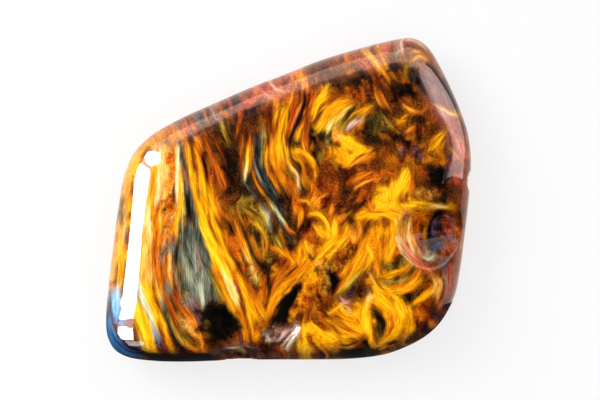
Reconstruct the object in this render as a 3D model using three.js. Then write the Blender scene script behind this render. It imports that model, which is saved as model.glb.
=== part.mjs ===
// A polished, tumbled pietersite as it lies on a table. It is one piece: a flat stone with rounded rims,
// a low domed top, a flat resting face, and the hollows that its rims and its top show.
// Millimetres, +Z up. The origin is under the middle of the stone, on the resting face.
import * as THREE from "three";

// Driving dimensions, in millimetres.
const WIDTH = 32.8; // left to right
const THICKNESS = 9.0; // from the resting face to the middle of the top
const GIRTH_HEIGHT = 4.3; // the stone is widest about this far above the resting face
const DOME_RISE = 0.55; // how far the top swells from its rim to its middle
const UNDERSIDE_REACH = 3.3; // how far in the rounding of the lower rim reaches

// How far in the rounding of the upper rim reaches, by the side that the rim faces.
const RIM_REACH = { left: 3.9, back: 3.2, right: 3.8, front: 2.0 };

// A flat on the far right of the upper rim: the bearings that it lies between, how deep it goes as a share of the
// rounding, and how far up it faces. The angles are in degrees.
const FACET = { from: 9, to: 43, depth: 0.075, facing: 50 };

// The girth isn't level: it rises and falls in slow waves round the stone.
const GIRTH_WAVES = [
  { rise: 0.28, turns: 2, phase: 0.6 },
  { rise: 0.16, turns: 3, phase: 2.1 },
];

// Slow swells that keep the top from being a perfect dome, as runs of waves across it.
const TOP_SWELLS = [
  { rise: 0.05, length: 19, heading: 0.5, phase: 0.4 },
  { rise: 0.035, length: 11, heading: 2.2, phase: 1.7 },
];

// The outline is drawn on a grid of square steps, x to the right and y down, anticlockwise from the near left corner.
const GRID_ACROSS = 363.8;
const GRID_MIDDLE = new THREE.Vector2(288.7, 199.6);
const STEP = WIDTH / GRID_ACROSS;
const OUTLINE = [
  [107.2, 329], [109.4, 339], [115.8, 349.8], [128.5, 356.9], [153.8, 360.7], [182, 361.6], [222, 360.4],
  [262, 359.4], [305, 359.2], [339, 358.9], [364, 357.3], [386, 353.7], [407, 346.1], [424.6, 336.5],
  [438.2, 324.4], [448.6, 308.8], [455.2, 293.6], [459.6, 272], [464.2, 238], [468, 206], [470.2, 182],
  [471, 163], [470.4, 148.4], [467.4, 131], [460.8, 111], [451.3, 88.4], [440.8, 67], [431.6, 51],
  [422.2, 41.5], [411, 37.5], [393.8, 39.3], [360.4, 47.6], [318.8, 60.3], [285, 73.8], [252, 86.4],
  [217.5, 101.5], [180, 118.3], [152.8, 134], [140.2, 145], [131.2, 157.4], [125, 173], [120.6, 193],
  [115.6, 229], [110.6, 272], [107.4, 308],
];

// Each hollow is what an ellipsoid takes away. It lies at a grid point, at a height in millimetres, its three radii
// are in millimetres along x, y and z, it is turned about z in degrees, and the stone gives way along push.
const HOLLOWS = {
  outerScoop: { at: [442, 238], height: 12.0, radii: [5.5, 4.2, 5.3], turn: 0, push: [-0.35, 0, -0.94] },
  innerScoop: { at: [446, 234], height: 11.1, radii: [4.6, 3.4, 5.0], turn: 0, push: [-0.35, 0, -0.94] },
  nearFlute: { at: [240, 375.5], height: 6.3, radii: [2.8, 2.7, 4.0], turn: 0, push: [0, 1, -0.15] },
  rightNotch: { at: [487, 182], height: 5.2, radii: [2.0, 1.5, 3.6], turn: 0, push: [-1, 0, -0.1] },
  crystalHollow: { at: [280, 335.5], height: 8.95, radii: [2.1, 0.85, 0.95], turn: 19, push: [0, 0, -1] },
};
const HOLLOW_LIP = 0.05; // how softly a hollow's edge runs out, in millimetres

// How finely the surface is divided. The sectors crowd together where the scoops are.
const SECTORS = 160;
const CROWDING = 0.45; // 0 for even sectors, nearer 1 for more of them at the crowded place
const CROWDED_TURN = 0.385; // how far round the outline that place is, from 0 to 1
const UPPER_RIM_ROWS = 12;
const TOP_ROWS = 9;
const LOWER_RIM_ROWS = 7;
const UNDERSIDE_ROWS = 1;
const ROW_CROWDING = 0.65; // 1 for even rows across the top, less for closer rows near its rim

const fromGrid = ([x, y]) =>
  new THREE.Vector2((x - GRID_MIDDLE.x) * STEP, (GRID_MIDDLE.y - y) * STEP);

const outline = new THREE.CatmullRomCurve3(
  OUTLINE.map((p) => new THREE.Vector3(...fromGrid(p).toArray(), 0)),
  true,
  "centripetal",
);

// How far in the upper rim's rounding reaches where the outline faces along the unit vector (nx, ny).
function rimReach(nx, ny) {
  const side = nx < 0 ? RIM_REACH.left : RIM_REACH.right;
  const end = ny < 0 ? RIM_REACH.front : RIM_REACH.back;
  return nx * nx * side + ny * ny * end;
}

function girthHeight(turn) {
  return GIRTH_WAVES.reduce(
    (height, w) => height + w.rise * Math.sin(2 * Math.PI * w.turns * turn + w.phase),
    GIRTH_HEIGHT,
  );
}

function topSwell(x, y) {
  return TOP_SWELLS.reduce((rise, w) => {
    const along = x * Math.cos(w.heading) + y * Math.sin(w.heading);
    return rise + w.rise * Math.sin((2 * Math.PI * along) / w.length + w.phase);
  }, 0);
}

// How deep the flat goes at a bearing: nothing at its two ends, most in the middle.
function facetDepth(bearing) {
  const span = (THREE.MathUtils.radToDeg(bearing) - FACET.from) / (FACET.to - FACET.from);
  return FACET.depth * Math.sin(Math.PI * THREE.MathUtils.clamp(span, 0, 1));
}

// One sector of the stone: what every row of points at this place on the outline shares. Insets run towards the
// middle of the stone, so they are longer where the outline doesn't face squarely away from it.
function sectorAt(turn) {
  const edge = outline.getPointAt(turn);
  const along = outline.getTangentAt(turn);
  const radius = Math.hypot(edge.x, edge.y);
  const squareness = (edge.x * along.y - edge.y * along.x) / radius;
  const bearing = Math.atan2(edge.y, edge.x);
  return {
    edge,
    radius,
    upperReach: rimReach(along.y, -along.x) / squareness,
    lowerReach: UNDERSIDE_REACH / squareness,
    girth: girthHeight(bearing / (2 * Math.PI)),
    facet: facetDepth(bearing),
  };
}

// Where the upper rim lies at an angle up its rounding, from 0 at the girth to a quarter turn where the rounding
// ends: how far in from the outline, and its share of the height above the girth.
function upperRounding(sector, tilt) {
  const facing = THREE.MathUtils.degToRad(FACET.facing);
  const out = Math.cos(tilt);
  const up = Math.sin(tilt);
  const over = Math.max(0, out * Math.cos(facing) + up * Math.sin(facing) - 1 + sector.facet);
  return {
    inset: sector.upperReach * (1 - out + over * Math.cos(facing)),
    up: up - over * Math.sin(facing),
  };
}

// A point of the stone's upper half, so far in from the outline and at a share of the height above the girth.
function upperPoint(sector, inset, up) {
  const share = 1 - inset / sector.radius;
  const x = sector.edge.x * share;
  const y = sector.edge.y * share;
  const top = THICKNESS - DOME_RISE * share * share + topSwell(x, y);
  return new THREE.Vector3(x, y, sector.girth + (top - sector.girth) * up);
}

// A point of the lower half, its tilt measured down the lower rim's rounding from the girth to the resting face.
function lowerPoint(sector, inset, tilt) {
  const share = 1 - inset / sector.radius;
  return new THREE.Vector3(
    sector.edge.x * share,
    sector.edge.y * share,
    sector.girth * (1 - Math.sin(tilt)),
  );
}

// How far a point has to go along a hollow's push to leave its ellipsoid, or 0 where it is outside already.
function wayOut(point, hollow) {
  const centre = fromGrid(hollow.at);
  const turn = THREE.MathUtils.degToRad(-hollow.turn);
  const zAxis = new THREE.Vector3(0, 0, 1);
  const radii = new THREE.Vector3(...hollow.radii);
  const from = point
    .clone()
    .sub(new THREE.Vector3(centre.x, centre.y, hollow.height))
    .applyAxisAngle(zAxis, turn)
    .divide(radii);
  const way = new THREE.Vector3(...hollow.push)
    .normalize()
    .applyAxisAngle(zAxis, turn)
    .divide(radii);
  const a = way.lengthSq();
  const b = from.dot(way);
  const c = from.lengthSq() - 1;
  return c < 0 ? (-b + Math.sqrt(b * b - a * c)) / a : 0;
}

function hollowedOut(point) {
  for (const hollow of Object.values(HOLLOWS)) {
    const way = wayOut(point, hollow);
    const eased = Math.hypot(way, HOLLOW_LIP) - HOLLOW_LIP;
    const push = new THREE.Vector3(...hollow.push).normalize();
    point.addScaledVector(push, eased);
  }
  return point;
}

// The rows of one sector, from the middle of the top out to the girth and back under to the resting face.
function sectorRows(sector) {
  const rows = [];
  const quarter = Math.PI / 2;
  for (let i = 1; i <= TOP_ROWS; i++) {
    const share = (i / TOP_ROWS) ** ROW_CROWDING;
    rows.push(upperPoint(sector, sector.radius - share * (sector.radius - sector.upperReach), 1));
  }
  for (let i = 1; i <= UPPER_RIM_ROWS; i++) {
    const tilt = quarter * (1 - i / UPPER_RIM_ROWS);
    const { inset, up } = upperRounding(sector, tilt);
    rows.push(upperPoint(sector, inset, up));
  }
  for (let i = 1; i <= LOWER_RIM_ROWS; i++) {
    const tilt = (quarter * i) / LOWER_RIM_ROWS;
    rows.push(lowerPoint(sector, sector.lowerReach * (1 - Math.cos(tilt)), tilt));
  }
  for (let i = 1; i <= UNDERSIDE_ROWS; i++) {
    const share = 1 - i / (UNDERSIDE_ROWS + 1);
    rows.push(lowerPoint(sector, sector.radius - share * (sector.radius - sector.lowerReach), quarter));
  }
  return rows.map(hollowedOut);
}

// How far round the outline a sector lies, from 0 to 1.
function turnOf(sector) {
  const even = sector / SECTORS;
  const pull = Math.sin(2 * Math.PI * (even - CROWDED_TURN));
  return (1 + even - (CROWDING * pull) / (2 * Math.PI)) % 1;
}

function stoneGeometry() {
  const sectors = [];
  for (let s = 0; s < SECTORS; s++) sectors.push(sectorRows(sectorAt(turnOf(s))));
  const rowCount = sectors[0].length;
  const points = sectors.flat();
  const topMiddle = points.push(new THREE.Vector3(0, 0, THICKNESS + topSwell(0, 0))) - 1;
  const underMiddle = points.push(new THREE.Vector3(0, 0, 0)) - 1;

  const faces = [];
  for (let s = 0; s < SECTORS; s++) {
    const here = s * rowCount;
    const next = ((s + 1) % SECTORS) * rowCount;
    faces.push(topMiddle, here, next);
    for (let r = 0; r < rowCount - 1; r++) {
      faces.push(here + r, here + r + 1, next + r + 1);
      faces.push(here + r, next + r + 1, next + r);
    }
    faces.push(underMiddle, next + rowCount - 1, here + rowCount - 1);
  }

  const geometry = new THREE.BufferGeometry().setFromPoints(points);
  geometry.setIndex(faces);
  geometry.computeBoundingBox();
  const middle = geometry.boundingBox.getCenter(new THREE.Vector3());
  geometry.translate(-middle.x, -middle.y, 0);
  geometry.computeVertexNormals();
  return geometry;
}

const stone = new THREE.Mesh(
  stoneGeometry(),
  new THREE.MeshStandardMaterial({ color: 0x9a5a0e, roughness: 0.12, metalness: 0 }),
);
stone.name = "stone";

const pietersite = new THREE.Group();
pietersite.add(stone);

export default pietersite;
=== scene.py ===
"""A polished pietersite, built as one finely divided stone whose fibres are laid on it lock by lock."""

import math

import bpy
import numpy as np
from bpy.props import FloatProperty, FloatVectorProperty, PointerProperty
from mathutils.bvhtree import BVHTree
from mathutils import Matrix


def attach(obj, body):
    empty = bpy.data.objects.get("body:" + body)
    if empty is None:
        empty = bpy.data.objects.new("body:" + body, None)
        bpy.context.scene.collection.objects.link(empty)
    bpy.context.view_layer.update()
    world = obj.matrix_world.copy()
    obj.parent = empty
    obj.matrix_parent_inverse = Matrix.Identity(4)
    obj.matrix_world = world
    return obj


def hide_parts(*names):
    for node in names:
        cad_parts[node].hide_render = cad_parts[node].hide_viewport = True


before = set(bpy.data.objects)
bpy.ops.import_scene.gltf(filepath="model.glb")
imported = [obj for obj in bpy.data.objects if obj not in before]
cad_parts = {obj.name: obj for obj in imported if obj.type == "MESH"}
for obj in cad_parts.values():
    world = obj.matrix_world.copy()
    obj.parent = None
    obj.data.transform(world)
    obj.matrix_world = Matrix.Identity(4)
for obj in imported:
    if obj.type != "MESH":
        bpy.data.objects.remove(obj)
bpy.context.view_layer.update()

bl_info = {
    "name": "Polished pietersite",
    "version": (1, 0, 0),
    "blender": (4, 5, 0),
    "location": "3D View > Sidebar > Pietersite",
    "description": "Builds a tumbled pietersite with its silky fibres, its hollows and its polish",
    "category": "Add Mesh",
}

MM = 0.001
QUARTER_TURN = math.pi / 2

# The drawing grid: square steps, x to the right and y down, seen from the camera. Every outline point,
# hollow and lock of fibres below is given in these steps.
GRID_ACROSS = 363.8
GRID_MIDDLE = (288.7, 199.6)
GRID_CENTRE = (300, 200)  # the point that the camera looks at
FRAME_ACROSS = 600  # how many steps of the grid the camera's frame is wide

# The outline, anticlockwise from the near left corner.
OUTLINE = (
    (107.2, 329), (109.4, 339), (115.8, 349.8), (128.5, 356.9), (153.8, 360.7), (182, 361.6), (222, 360.4),
    (262, 359.4), (305, 359.2), (339, 358.9), (364, 357.3), (386, 353.7), (407, 346.1), (424.6, 336.5),
    (438.2, 324.4), (448.6, 308.8), (455.2, 293.6), (459.6, 272), (464.2, 238), (468, 206), (470.2, 182),
    (471, 163), (470.4, 148.4), (467.4, 131), (460.8, 111), (451.3, 88.4), (440.8, 67), (431.6, 51),
    (422.2, 41.5), (411, 37.5), (393.8, 39.3), (360.4, 47.6), (318.8, 60.3), (285, 73.8), (252, 86.4),
    (217.5, 101.5), (180, 118.3), (152.8, 134), (140.2, 145), (131.2, 157.4), (125, 173), (120.6, 193),
    (115.6, 229), (110.6, 272), (107.4, 308),
)

# How far in the rounding of the upper rim reaches, in millimetres, by the side that the rim faces.
RIM_REACH = {"left": 3.9, "back": 3.2, "right": 3.8, "front": 2.0}

# A flat on the far right of the upper rim: the bearings that it lies between, how deep it goes as a share
# of the rounding, and how far up it faces. The angles are in degrees.
FACET = {"bearings": (9, 43), "depth": 0.075, "facing": 50}
UNDERSIDE_REACH = 3.3  # how far in the rounding of the lower rim reaches, in millimetres

# The girth rises and falls in slow waves round the stone: (rise in millimetres, waves in a turn, phase).
GIRTH_WAVES = ((0.28, 2, 0.6), (0.16, 3, 2.1))

# Slow swells of the top: (rise and length in millimetres, heading, phase).
TOP_SWELLS = ((0.05, 19, 0.5, 0.4), (0.035, 11, 2.2, 1.7))

# What ellipsoids take away: their grid point, their height and radii in millimetres, their turn about the
# vertical in degrees, and the direction in which the stone gives way.
HOLLOWS = {
    "outer scoop": ((442, 238), 12.0, (5.5, 4.2, 5.3), 0, (-0.35, 0, -0.94)),
    "inner scoop": ((446, 234), 11.1, (4.6, 3.4, 5.0), 0, (-0.35, 0, -0.94)),
    "near flute": ((240, 375.5), 6.3, (2.8, 2.7, 4.0), 0, (0, 1, -0.15)),
    "right notch": ((487, 182), 5.2, (2.0, 1.5, 3.6), 0, (-1, 0, -0.1)),
    "crystal hollow": ((280, 335.5), 8.95, (2.1, 0.85, 0.95), 19, (0, 0, -1)),
}
HOLLOW_LIP = 0.05  # how softly a hollow's edge runs out, in millimetres

SENSOR = 36  # the width of the camera's sensor, in millimetres

# The soft-boxes and the window that the polish mirrors: the bearing and the distance in millimetres of the
# wall that each one hangs on, its radiance at the lower and the upper edge, its colour, and its two long
# edges as the stone shows them, in steps of the drawing grid, with as many corners each.
WHITE = (1, 1, 1)
MIRRORED = (
    (
        "window", 168, 60, (42, 42), WHITE,
        ((140.5, 163.5), (137.4, 169), (134.6, 180), (132.4, 205), (130, 230), (127.4, 255), (124.4, 280),
         (121.6, 305), (119.6, 318)),
        ((146, 166.5), (150.6, 171), (149.4, 180), (145.2, 205), (142.4, 230), (140.6, 255), (138.6, 280),
         (135.4, 305), (133.6, 318.5)),
    ),
    (
        "lamp", 145, 60, (42, 42), WHITE,
        ((148, 152), (144.5, 157), (146, 163), (150, 166)),
        ((154, 150.4), (160, 154), (160, 162), (155, 166)),
    ),
    (
        "lamp_haze", 145, 62, (8, 8), WHITE,
        ((144.5, 158), (140.5, 163.5)),
        ((153, 166.5), (150.6, 171)),
    ),
    (
        "window_bar", 178, 60, (7, 7), (0.7, 0.88, 1),
        ((119.6, 318), (118.2, 327)),
        ((133.6, 318.5), (132.6, 327.5)),
    ),
    (
        "window_low", 190, 60, (42, 42), WHITE,
        ((118.2, 327), (117.6, 333), (121, 338.5)),
        ((132.6, 327.6), (133.4, 334), (133.6, 340)),
    ),
    (
        "window_foot", 235, 60, (9, 9), (0.8, 0.95, 1),
        ((125, 341), (129, 345.5)),
        ((144, 341.5), (143, 346)),
    ),
    (
        "back_screen", 115, 60, (2.0, 8.0), (1.0, 0.82, 0.7),
        ((146, 154), (165, 154), (188, 144), (206, 135), (231, 125), (255, 115.5), (288, 102), (318, 90),
         (347, 80), (375, 73), (396, 68.5), (413, 67), (425, 64), (430, 60)),
        ((144, 147), (154.8, 136.5), (177, 123.5), (197, 112.8), (218, 103.8), (244, 92.2), (274, 80.4),
         (305, 67.8), (335.4, 57.4), (364.5, 48.6), (389.6, 43), (411, 40.2), (420, 43.4), (427.4, 50)),
    ),
    (
        "right_screen", 30, 60, (6.5, 9.0), (1.0, 0.74, 0.7),
        ((416, 62), (414, 72), (415, 84), (421, 97), (429, 110), (438, 123), (443, 134), (446, 146),
         (447, 158),
         (444, 172), (442, 184)),
        ((426, 65), (432, 70), (438.5, 79), (446, 91), (453, 103), (459, 115), (464, 130), (467, 144),
         (468, 157), (465.5, 170), (462, 180)),
    ),
)

# What the rim mirrors of the floor: how far back it starts and its height, in millimetres, how far it
# spreads beyond the outline at the sides and at the back, its radiance and colour.
RIM_GLOW = {"from_y": -9.0, "height": 0.2, "spread": (2.0, 4.0), "radiance": 0.95,
            "colour": (1.0, 0.86, 0.77)}

# Where the veils of the back and right screens end on the top of the stone, which lies on the right hand of
# each.
VEIL_EDGES = (
    ((160, 149), (176, 142), (190, 135.7), (211.7, 124.8), (238, 112), (270, 100.7), (300, 89.7),
     (337, 76.6),
     (374, 67.3), (392.6, 62.8), (404, 61.6), (412, 62)),
    ((419.4, 66), (421, 78), (428, 91.4), (437, 108), (446, 123), (451.5, 138), (453.5, 149), (452, 162),
     (448.5, 173), (448, 184)),
)

# How finely the surface is divided. The rings of the upper half hold eight points more each than the last.
TOP_RINGS = 110
RIM_RINGS = 32
LOWER_ROWS = (8, 6, 19)  # rows below the girth, the second and third lots with every other point left out
LOWER_TILTS = (0.0, 0.5, 1.0)  # how far round the lower rim the first two lots reach

# The seed of the lowest lock, and how much each lock's is more than the last.
FIRST_SEED = 11
SEED_STEP = 7

# Headings that the finest fibres are drawn out along, and their length, width and depth in steps of the
# grid.
FIBRE_WAYS = 8
FIBRE_SIZE = (15, 1.25, 2.5)

# The specks between the fibres: how fine they are, and how far their height swings above its least value.
SPECKS = {"scale": 0.55, "swing": 0.7, "least": 0.15}

# How strongly the height of the fibres deepens the colour and lightens it, and the least of each.
FIBRE_SHADE = {"deepen": -3.0, "least power": 0.85, "lighten": 1.8, "least light": 0.12}

# Where the markings start to run on inwards down the flank, how gently, and the heights between which they
# give way to those of the underside, in millimetres above the resting face; and how large the underside's
# show.
FLANK = {"top": 7.0, "ease": 2.7, "fade": (4.6, 1.4)}
UNDERSIDE_SCALE = 0.7

# The flute in the near rim: how deep it is where the markings no longer run on down its wall, the share of
# them that painted shade takes off on its floor, and the depths between which that shade sets in, in
# millimetres.
FLUTE = {"markings": 0.2, "shade": 0.6, "shaded": (0.4, 1.2)}

# The share of the polish that the bowls of the scoop lose, and the depths between which they lose it, in
# millimetres.
SCOOP_POLISH = {"dulled": 0.7, "depths": (0.02, 0.25)}

# The flat top mirrors less at a glance: how upright its skin stands, as the upright part of a unit normal,
# and how far the glance leans, as one less its cosine.
FLAT = (0.78, 0.93)
GLANCE = (0.3, 0.6)

FLOOR_REACH = 0.9  # how far the floor reaches each way, in metres

# The dim room round the stage: its light at the horizon and overhead, and how high the overhead begins.
ROOM = {"horizon": (0.035, 0.035, 0.037), "overhead": (0.008, 0.008, 0.009), "from": 0.85}

# Six shades of each run of colour, from between the fibres to the light on them, as 8-bit colours. Their
# lighter shades hold the fibres' silky sheen painted in, as well as the fibres' own colour.
SHADES = ("dark", "deep", "middle", "bright", "light", "pale")
RUNS = {
    "gold": ((10, 5, 1), (72, 32, 2), (154, 75, 2), (214, 119, 3), (241, 161, 2), (253, 205, 26)),
    "olive": ((12, 10, 6), (46, 36, 10), (100, 74, 14), (158, 120, 26), (208, 172, 56), (240, 216, 124)),
    "slate": ((10, 10, 9), (42, 44, 38), (80, 84, 70), (118, 122, 100), (166, 166, 134), (220, 216, 180)),
    "blue": ((12, 22, 34), (22, 50, 82), (40, 90, 136), (72, 146, 204), (138, 190, 224), (200, 230, 244)),
    "rust": ((14, 6, 2), (68, 27, 3), (134, 54, 3), (194, 92, 6), (238, 138, 22), (253, 184, 84)),
    "ember": ((24, 8, 8), (84, 26, 14), (146, 50, 24), (196, 84, 46), (226, 128, 84), (246, 184, 146)),
    "peach": ((140, 74, 14), (190, 112, 32), (228, 150, 48), (243, 184, 84), (250, 208, 122),
              (255, 230, 172)),
    "mauve": ((22, 14, 18), (60, 38, 42), (96, 64, 66), (146, 98, 88), (192, 144, 122), (232, 192, 170)),
    "violet": ((16, 12, 18), (46, 35, 46), (84, 66, 84), (124, 100, 116), (162, 136, 146), (206, 186, 192)),
}


def linear(colour):
    """An 8-bit colour as the linear values that Blender works in."""
    c = np.asarray(colour, float) / 255
    return np.where(c <= 0.04045, c / 12.92, ((c + 0.055) / 1.055) ** 2.4)


def lattice(column, row, seed):
    """A fixed number from 0 to 1 for each lattice point."""
    mixed = (column * 374761393 + row * 668265263 + seed * 1442695041) & 0xFFFFFFFF
    mixed = ((mixed ^ (mixed >> 13)) * 1274126177) & 0xFFFFFFFF
    return ((mixed ^ (mixed >> 16)) & 0xFFFF) / 65535


def smooth_step(low, high, x):
    t = np.clip((x - low) / (high - low), 0, 1)
    return t * t * (3 - 2 * t)


def noise(x, y, seed):
    """Smooth noise from 0 to 1 whose lumps are one unit across."""
    left, below = np.floor(x), np.floor(y)
    column, row = left.astype(np.int64), below.astype(np.int64)
    u, v = smooth_step(0, 1, x - left), smooth_step(0, 1, y - below)
    near = lattice(column, row, seed) * (1 - u) + lattice(column + 1, row, seed) * u
    far = lattice(column, row + 1, seed) * (1 - u) + lattice(column + 1, row + 1, seed) * u
    return near * (1 - v) + far * v


def cloud(x, y, size, seed, octaves=3):
    """Noise in layers, the largest lumps of which are size across."""
    total = sum(noise(x * 2**i / size, y * 2**i / size, seed + i) / 2**i for i in range(octaves))
    return total / (2 - 2 ** (1 - octaves))


def lock(run, tone, *points, contrast=0.1, core_sheen=0.02, fray=7.0, ragged=0.5, firm=1.5, grain=False):
    """A lock of fibres: its run of colour, its tone or tones, and the (x, y, width) points of its line."""
    return {
        "run": run,
        "tones": tone if isinstance(tone, tuple) else (tone, tone),
        "points": np.array(points, float),
        "contrast": contrast,
        "core_sheen": core_sheen,
        "fray": fray,
        "ragged": ragged,
        "firm": firm,
        "grain": grain,
    }


def patch(run, tone, *points, contrast=0.12, ragged=0.5, firm=1.0):
    """A clouded patch with no fibres of its own."""
    return lock(run, tone, *points, contrast=contrast, core_sheen=0, ragged=ragged, firm=firm, grain=True)


def grains(run, tones, size, count, seed, *points):
    """Small grains strewn along a band, from (x, y, width) points of its line."""
    rng = np.random.default_rng(seed)
    line = np.array(points, float)
    dots = []
    for way in rng.random(count) * (len(line) - 1):
        leg = int(way)
        x, y, width = line[leg] + (line[leg + 1] - line[leg]) * (way - leg)
        x, y = (x, y) + rng.normal(size=2) * width / 4
        long = size * rng.uniform(0.5, 1.6)
        turn = rng.uniform(0, math.pi)
        end = (x + long * math.cos(turn), y + long * math.sin(turn), size * 0.8)
        tone = rng.uniform(*tones)
        dots.append(lock(run, tone, (x, y, size), end, contrast=0, core_sheen=0, fray=1, ragged=0, grain=True))
    return dots


WEST_RIM = [
    patch("gold", (0.7, 0.8, 0.8, 0.8, 0.78), (156, 132, 14), (138, 147, 15), (129, 166, 15),
          (124, 195, 15), (119, 235, 15), (115, 275, 14), (114, 288, 13), contrast=0.05),
    lock("peach", (0.4, 0.5, 0.5), (150, 133, 5), (136, 146, 6), (128, 160, 4)),
    lock("gold", (0.84, 0.88, 0.88, 0.84), (142, 148, 7), (133, 162, 8), (129, 180, 7), (127.5, 204, 5),
         (126.5, 226, 3)),
    lock("gold", (0.86, 0.9, 0.88), (122.5, 222, 5), (121.5, 245, 6), (120.5, 268, 6), (119.5, 286, 4)),
    lock("rust", 0.42, (118, 258, 1.6), (116.8, 270, 2.4), (116, 284, 2)),
    lock("olive", (0.4, 0.5, 0.4), (124, 196, 1.6), (122.5, 214, 2.4), (121.5, 230, 1.6)),
    # Painted reflection: a pale line along the left outline, where the rim mirrors the floor.
    lock("peach", (0.9, 0.95, 0.9), (122.5, 186, 2.4), (118, 215, 3), (115, 240, 3), (112.5, 262, 3.4),
         (110.5, 284, 3)),
    lock("slate", (0.9, 0.96, 0.9), (126.5, 206, 1.4), (124.5, 226, 1.6), (123, 244, 1.2)),
    lock("blue", (0.85, 0.8, 0.66), (115.5, 289, 8), (115.5, 300, 9), (117, 314, 8), (121, 324, 9)),
    lock("blue", (0.3, 0.14, 0.12, 0.24), (111.5, 300, 2.4), (110.8, 312, 4), (111.5, 325, 5),
         (114, 334, 4)),
    lock("blue", (0.4, 0.5, 0.46, 0.4), (109.5, 318, 3), (111.5, 332, 5), (117, 343, 9), (127, 351, 10),
         (140, 355, 7)),
    # Painted shade: dark bands along the near edge, where the near rim faces away from the light and mirrors
    # the dark room.
    lock("blue", (0.02, 0.02, 0.1), (117, 333, 2), (123, 340, 4), (131, 346.5, 4), (141, 349, 4),
         contrast=0.03),
    lock("gold", (0.04, 0.03, 0.02), (142, 353, 6), (165, 355.5, 8), (190, 356, 8), (214, 355, 6),
         contrast=0.03),
    lock("mauve", (0.2, 0.3, 0.2), (176, 359, 1.6), (200, 359, 2), (214, 358, 1.6)),
    lock("mauve", (0.2, 0.4, 0.5, 0.4, 0.2), (213, 356, 1.6), (222, 350, 2), (234, 346, 2), (247, 345.6, 2),
         (258, 349.6, 2), (268, 356, 1.6)),
    # Painted shade in the hollow of the flute.
    patch("violet", (0.1, 0.14, 0.1), (228, 354, 8), (242, 353, 10), (256, 355, 8), contrast=0.06),
    # A painted highlight in the flute.
    lock("peach", (0.9, 1.0, 0.9), (232, 348.6, 1.6), (238, 348.2, 2), (244, 349, 1.6), ragged=0.1),
]

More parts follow.
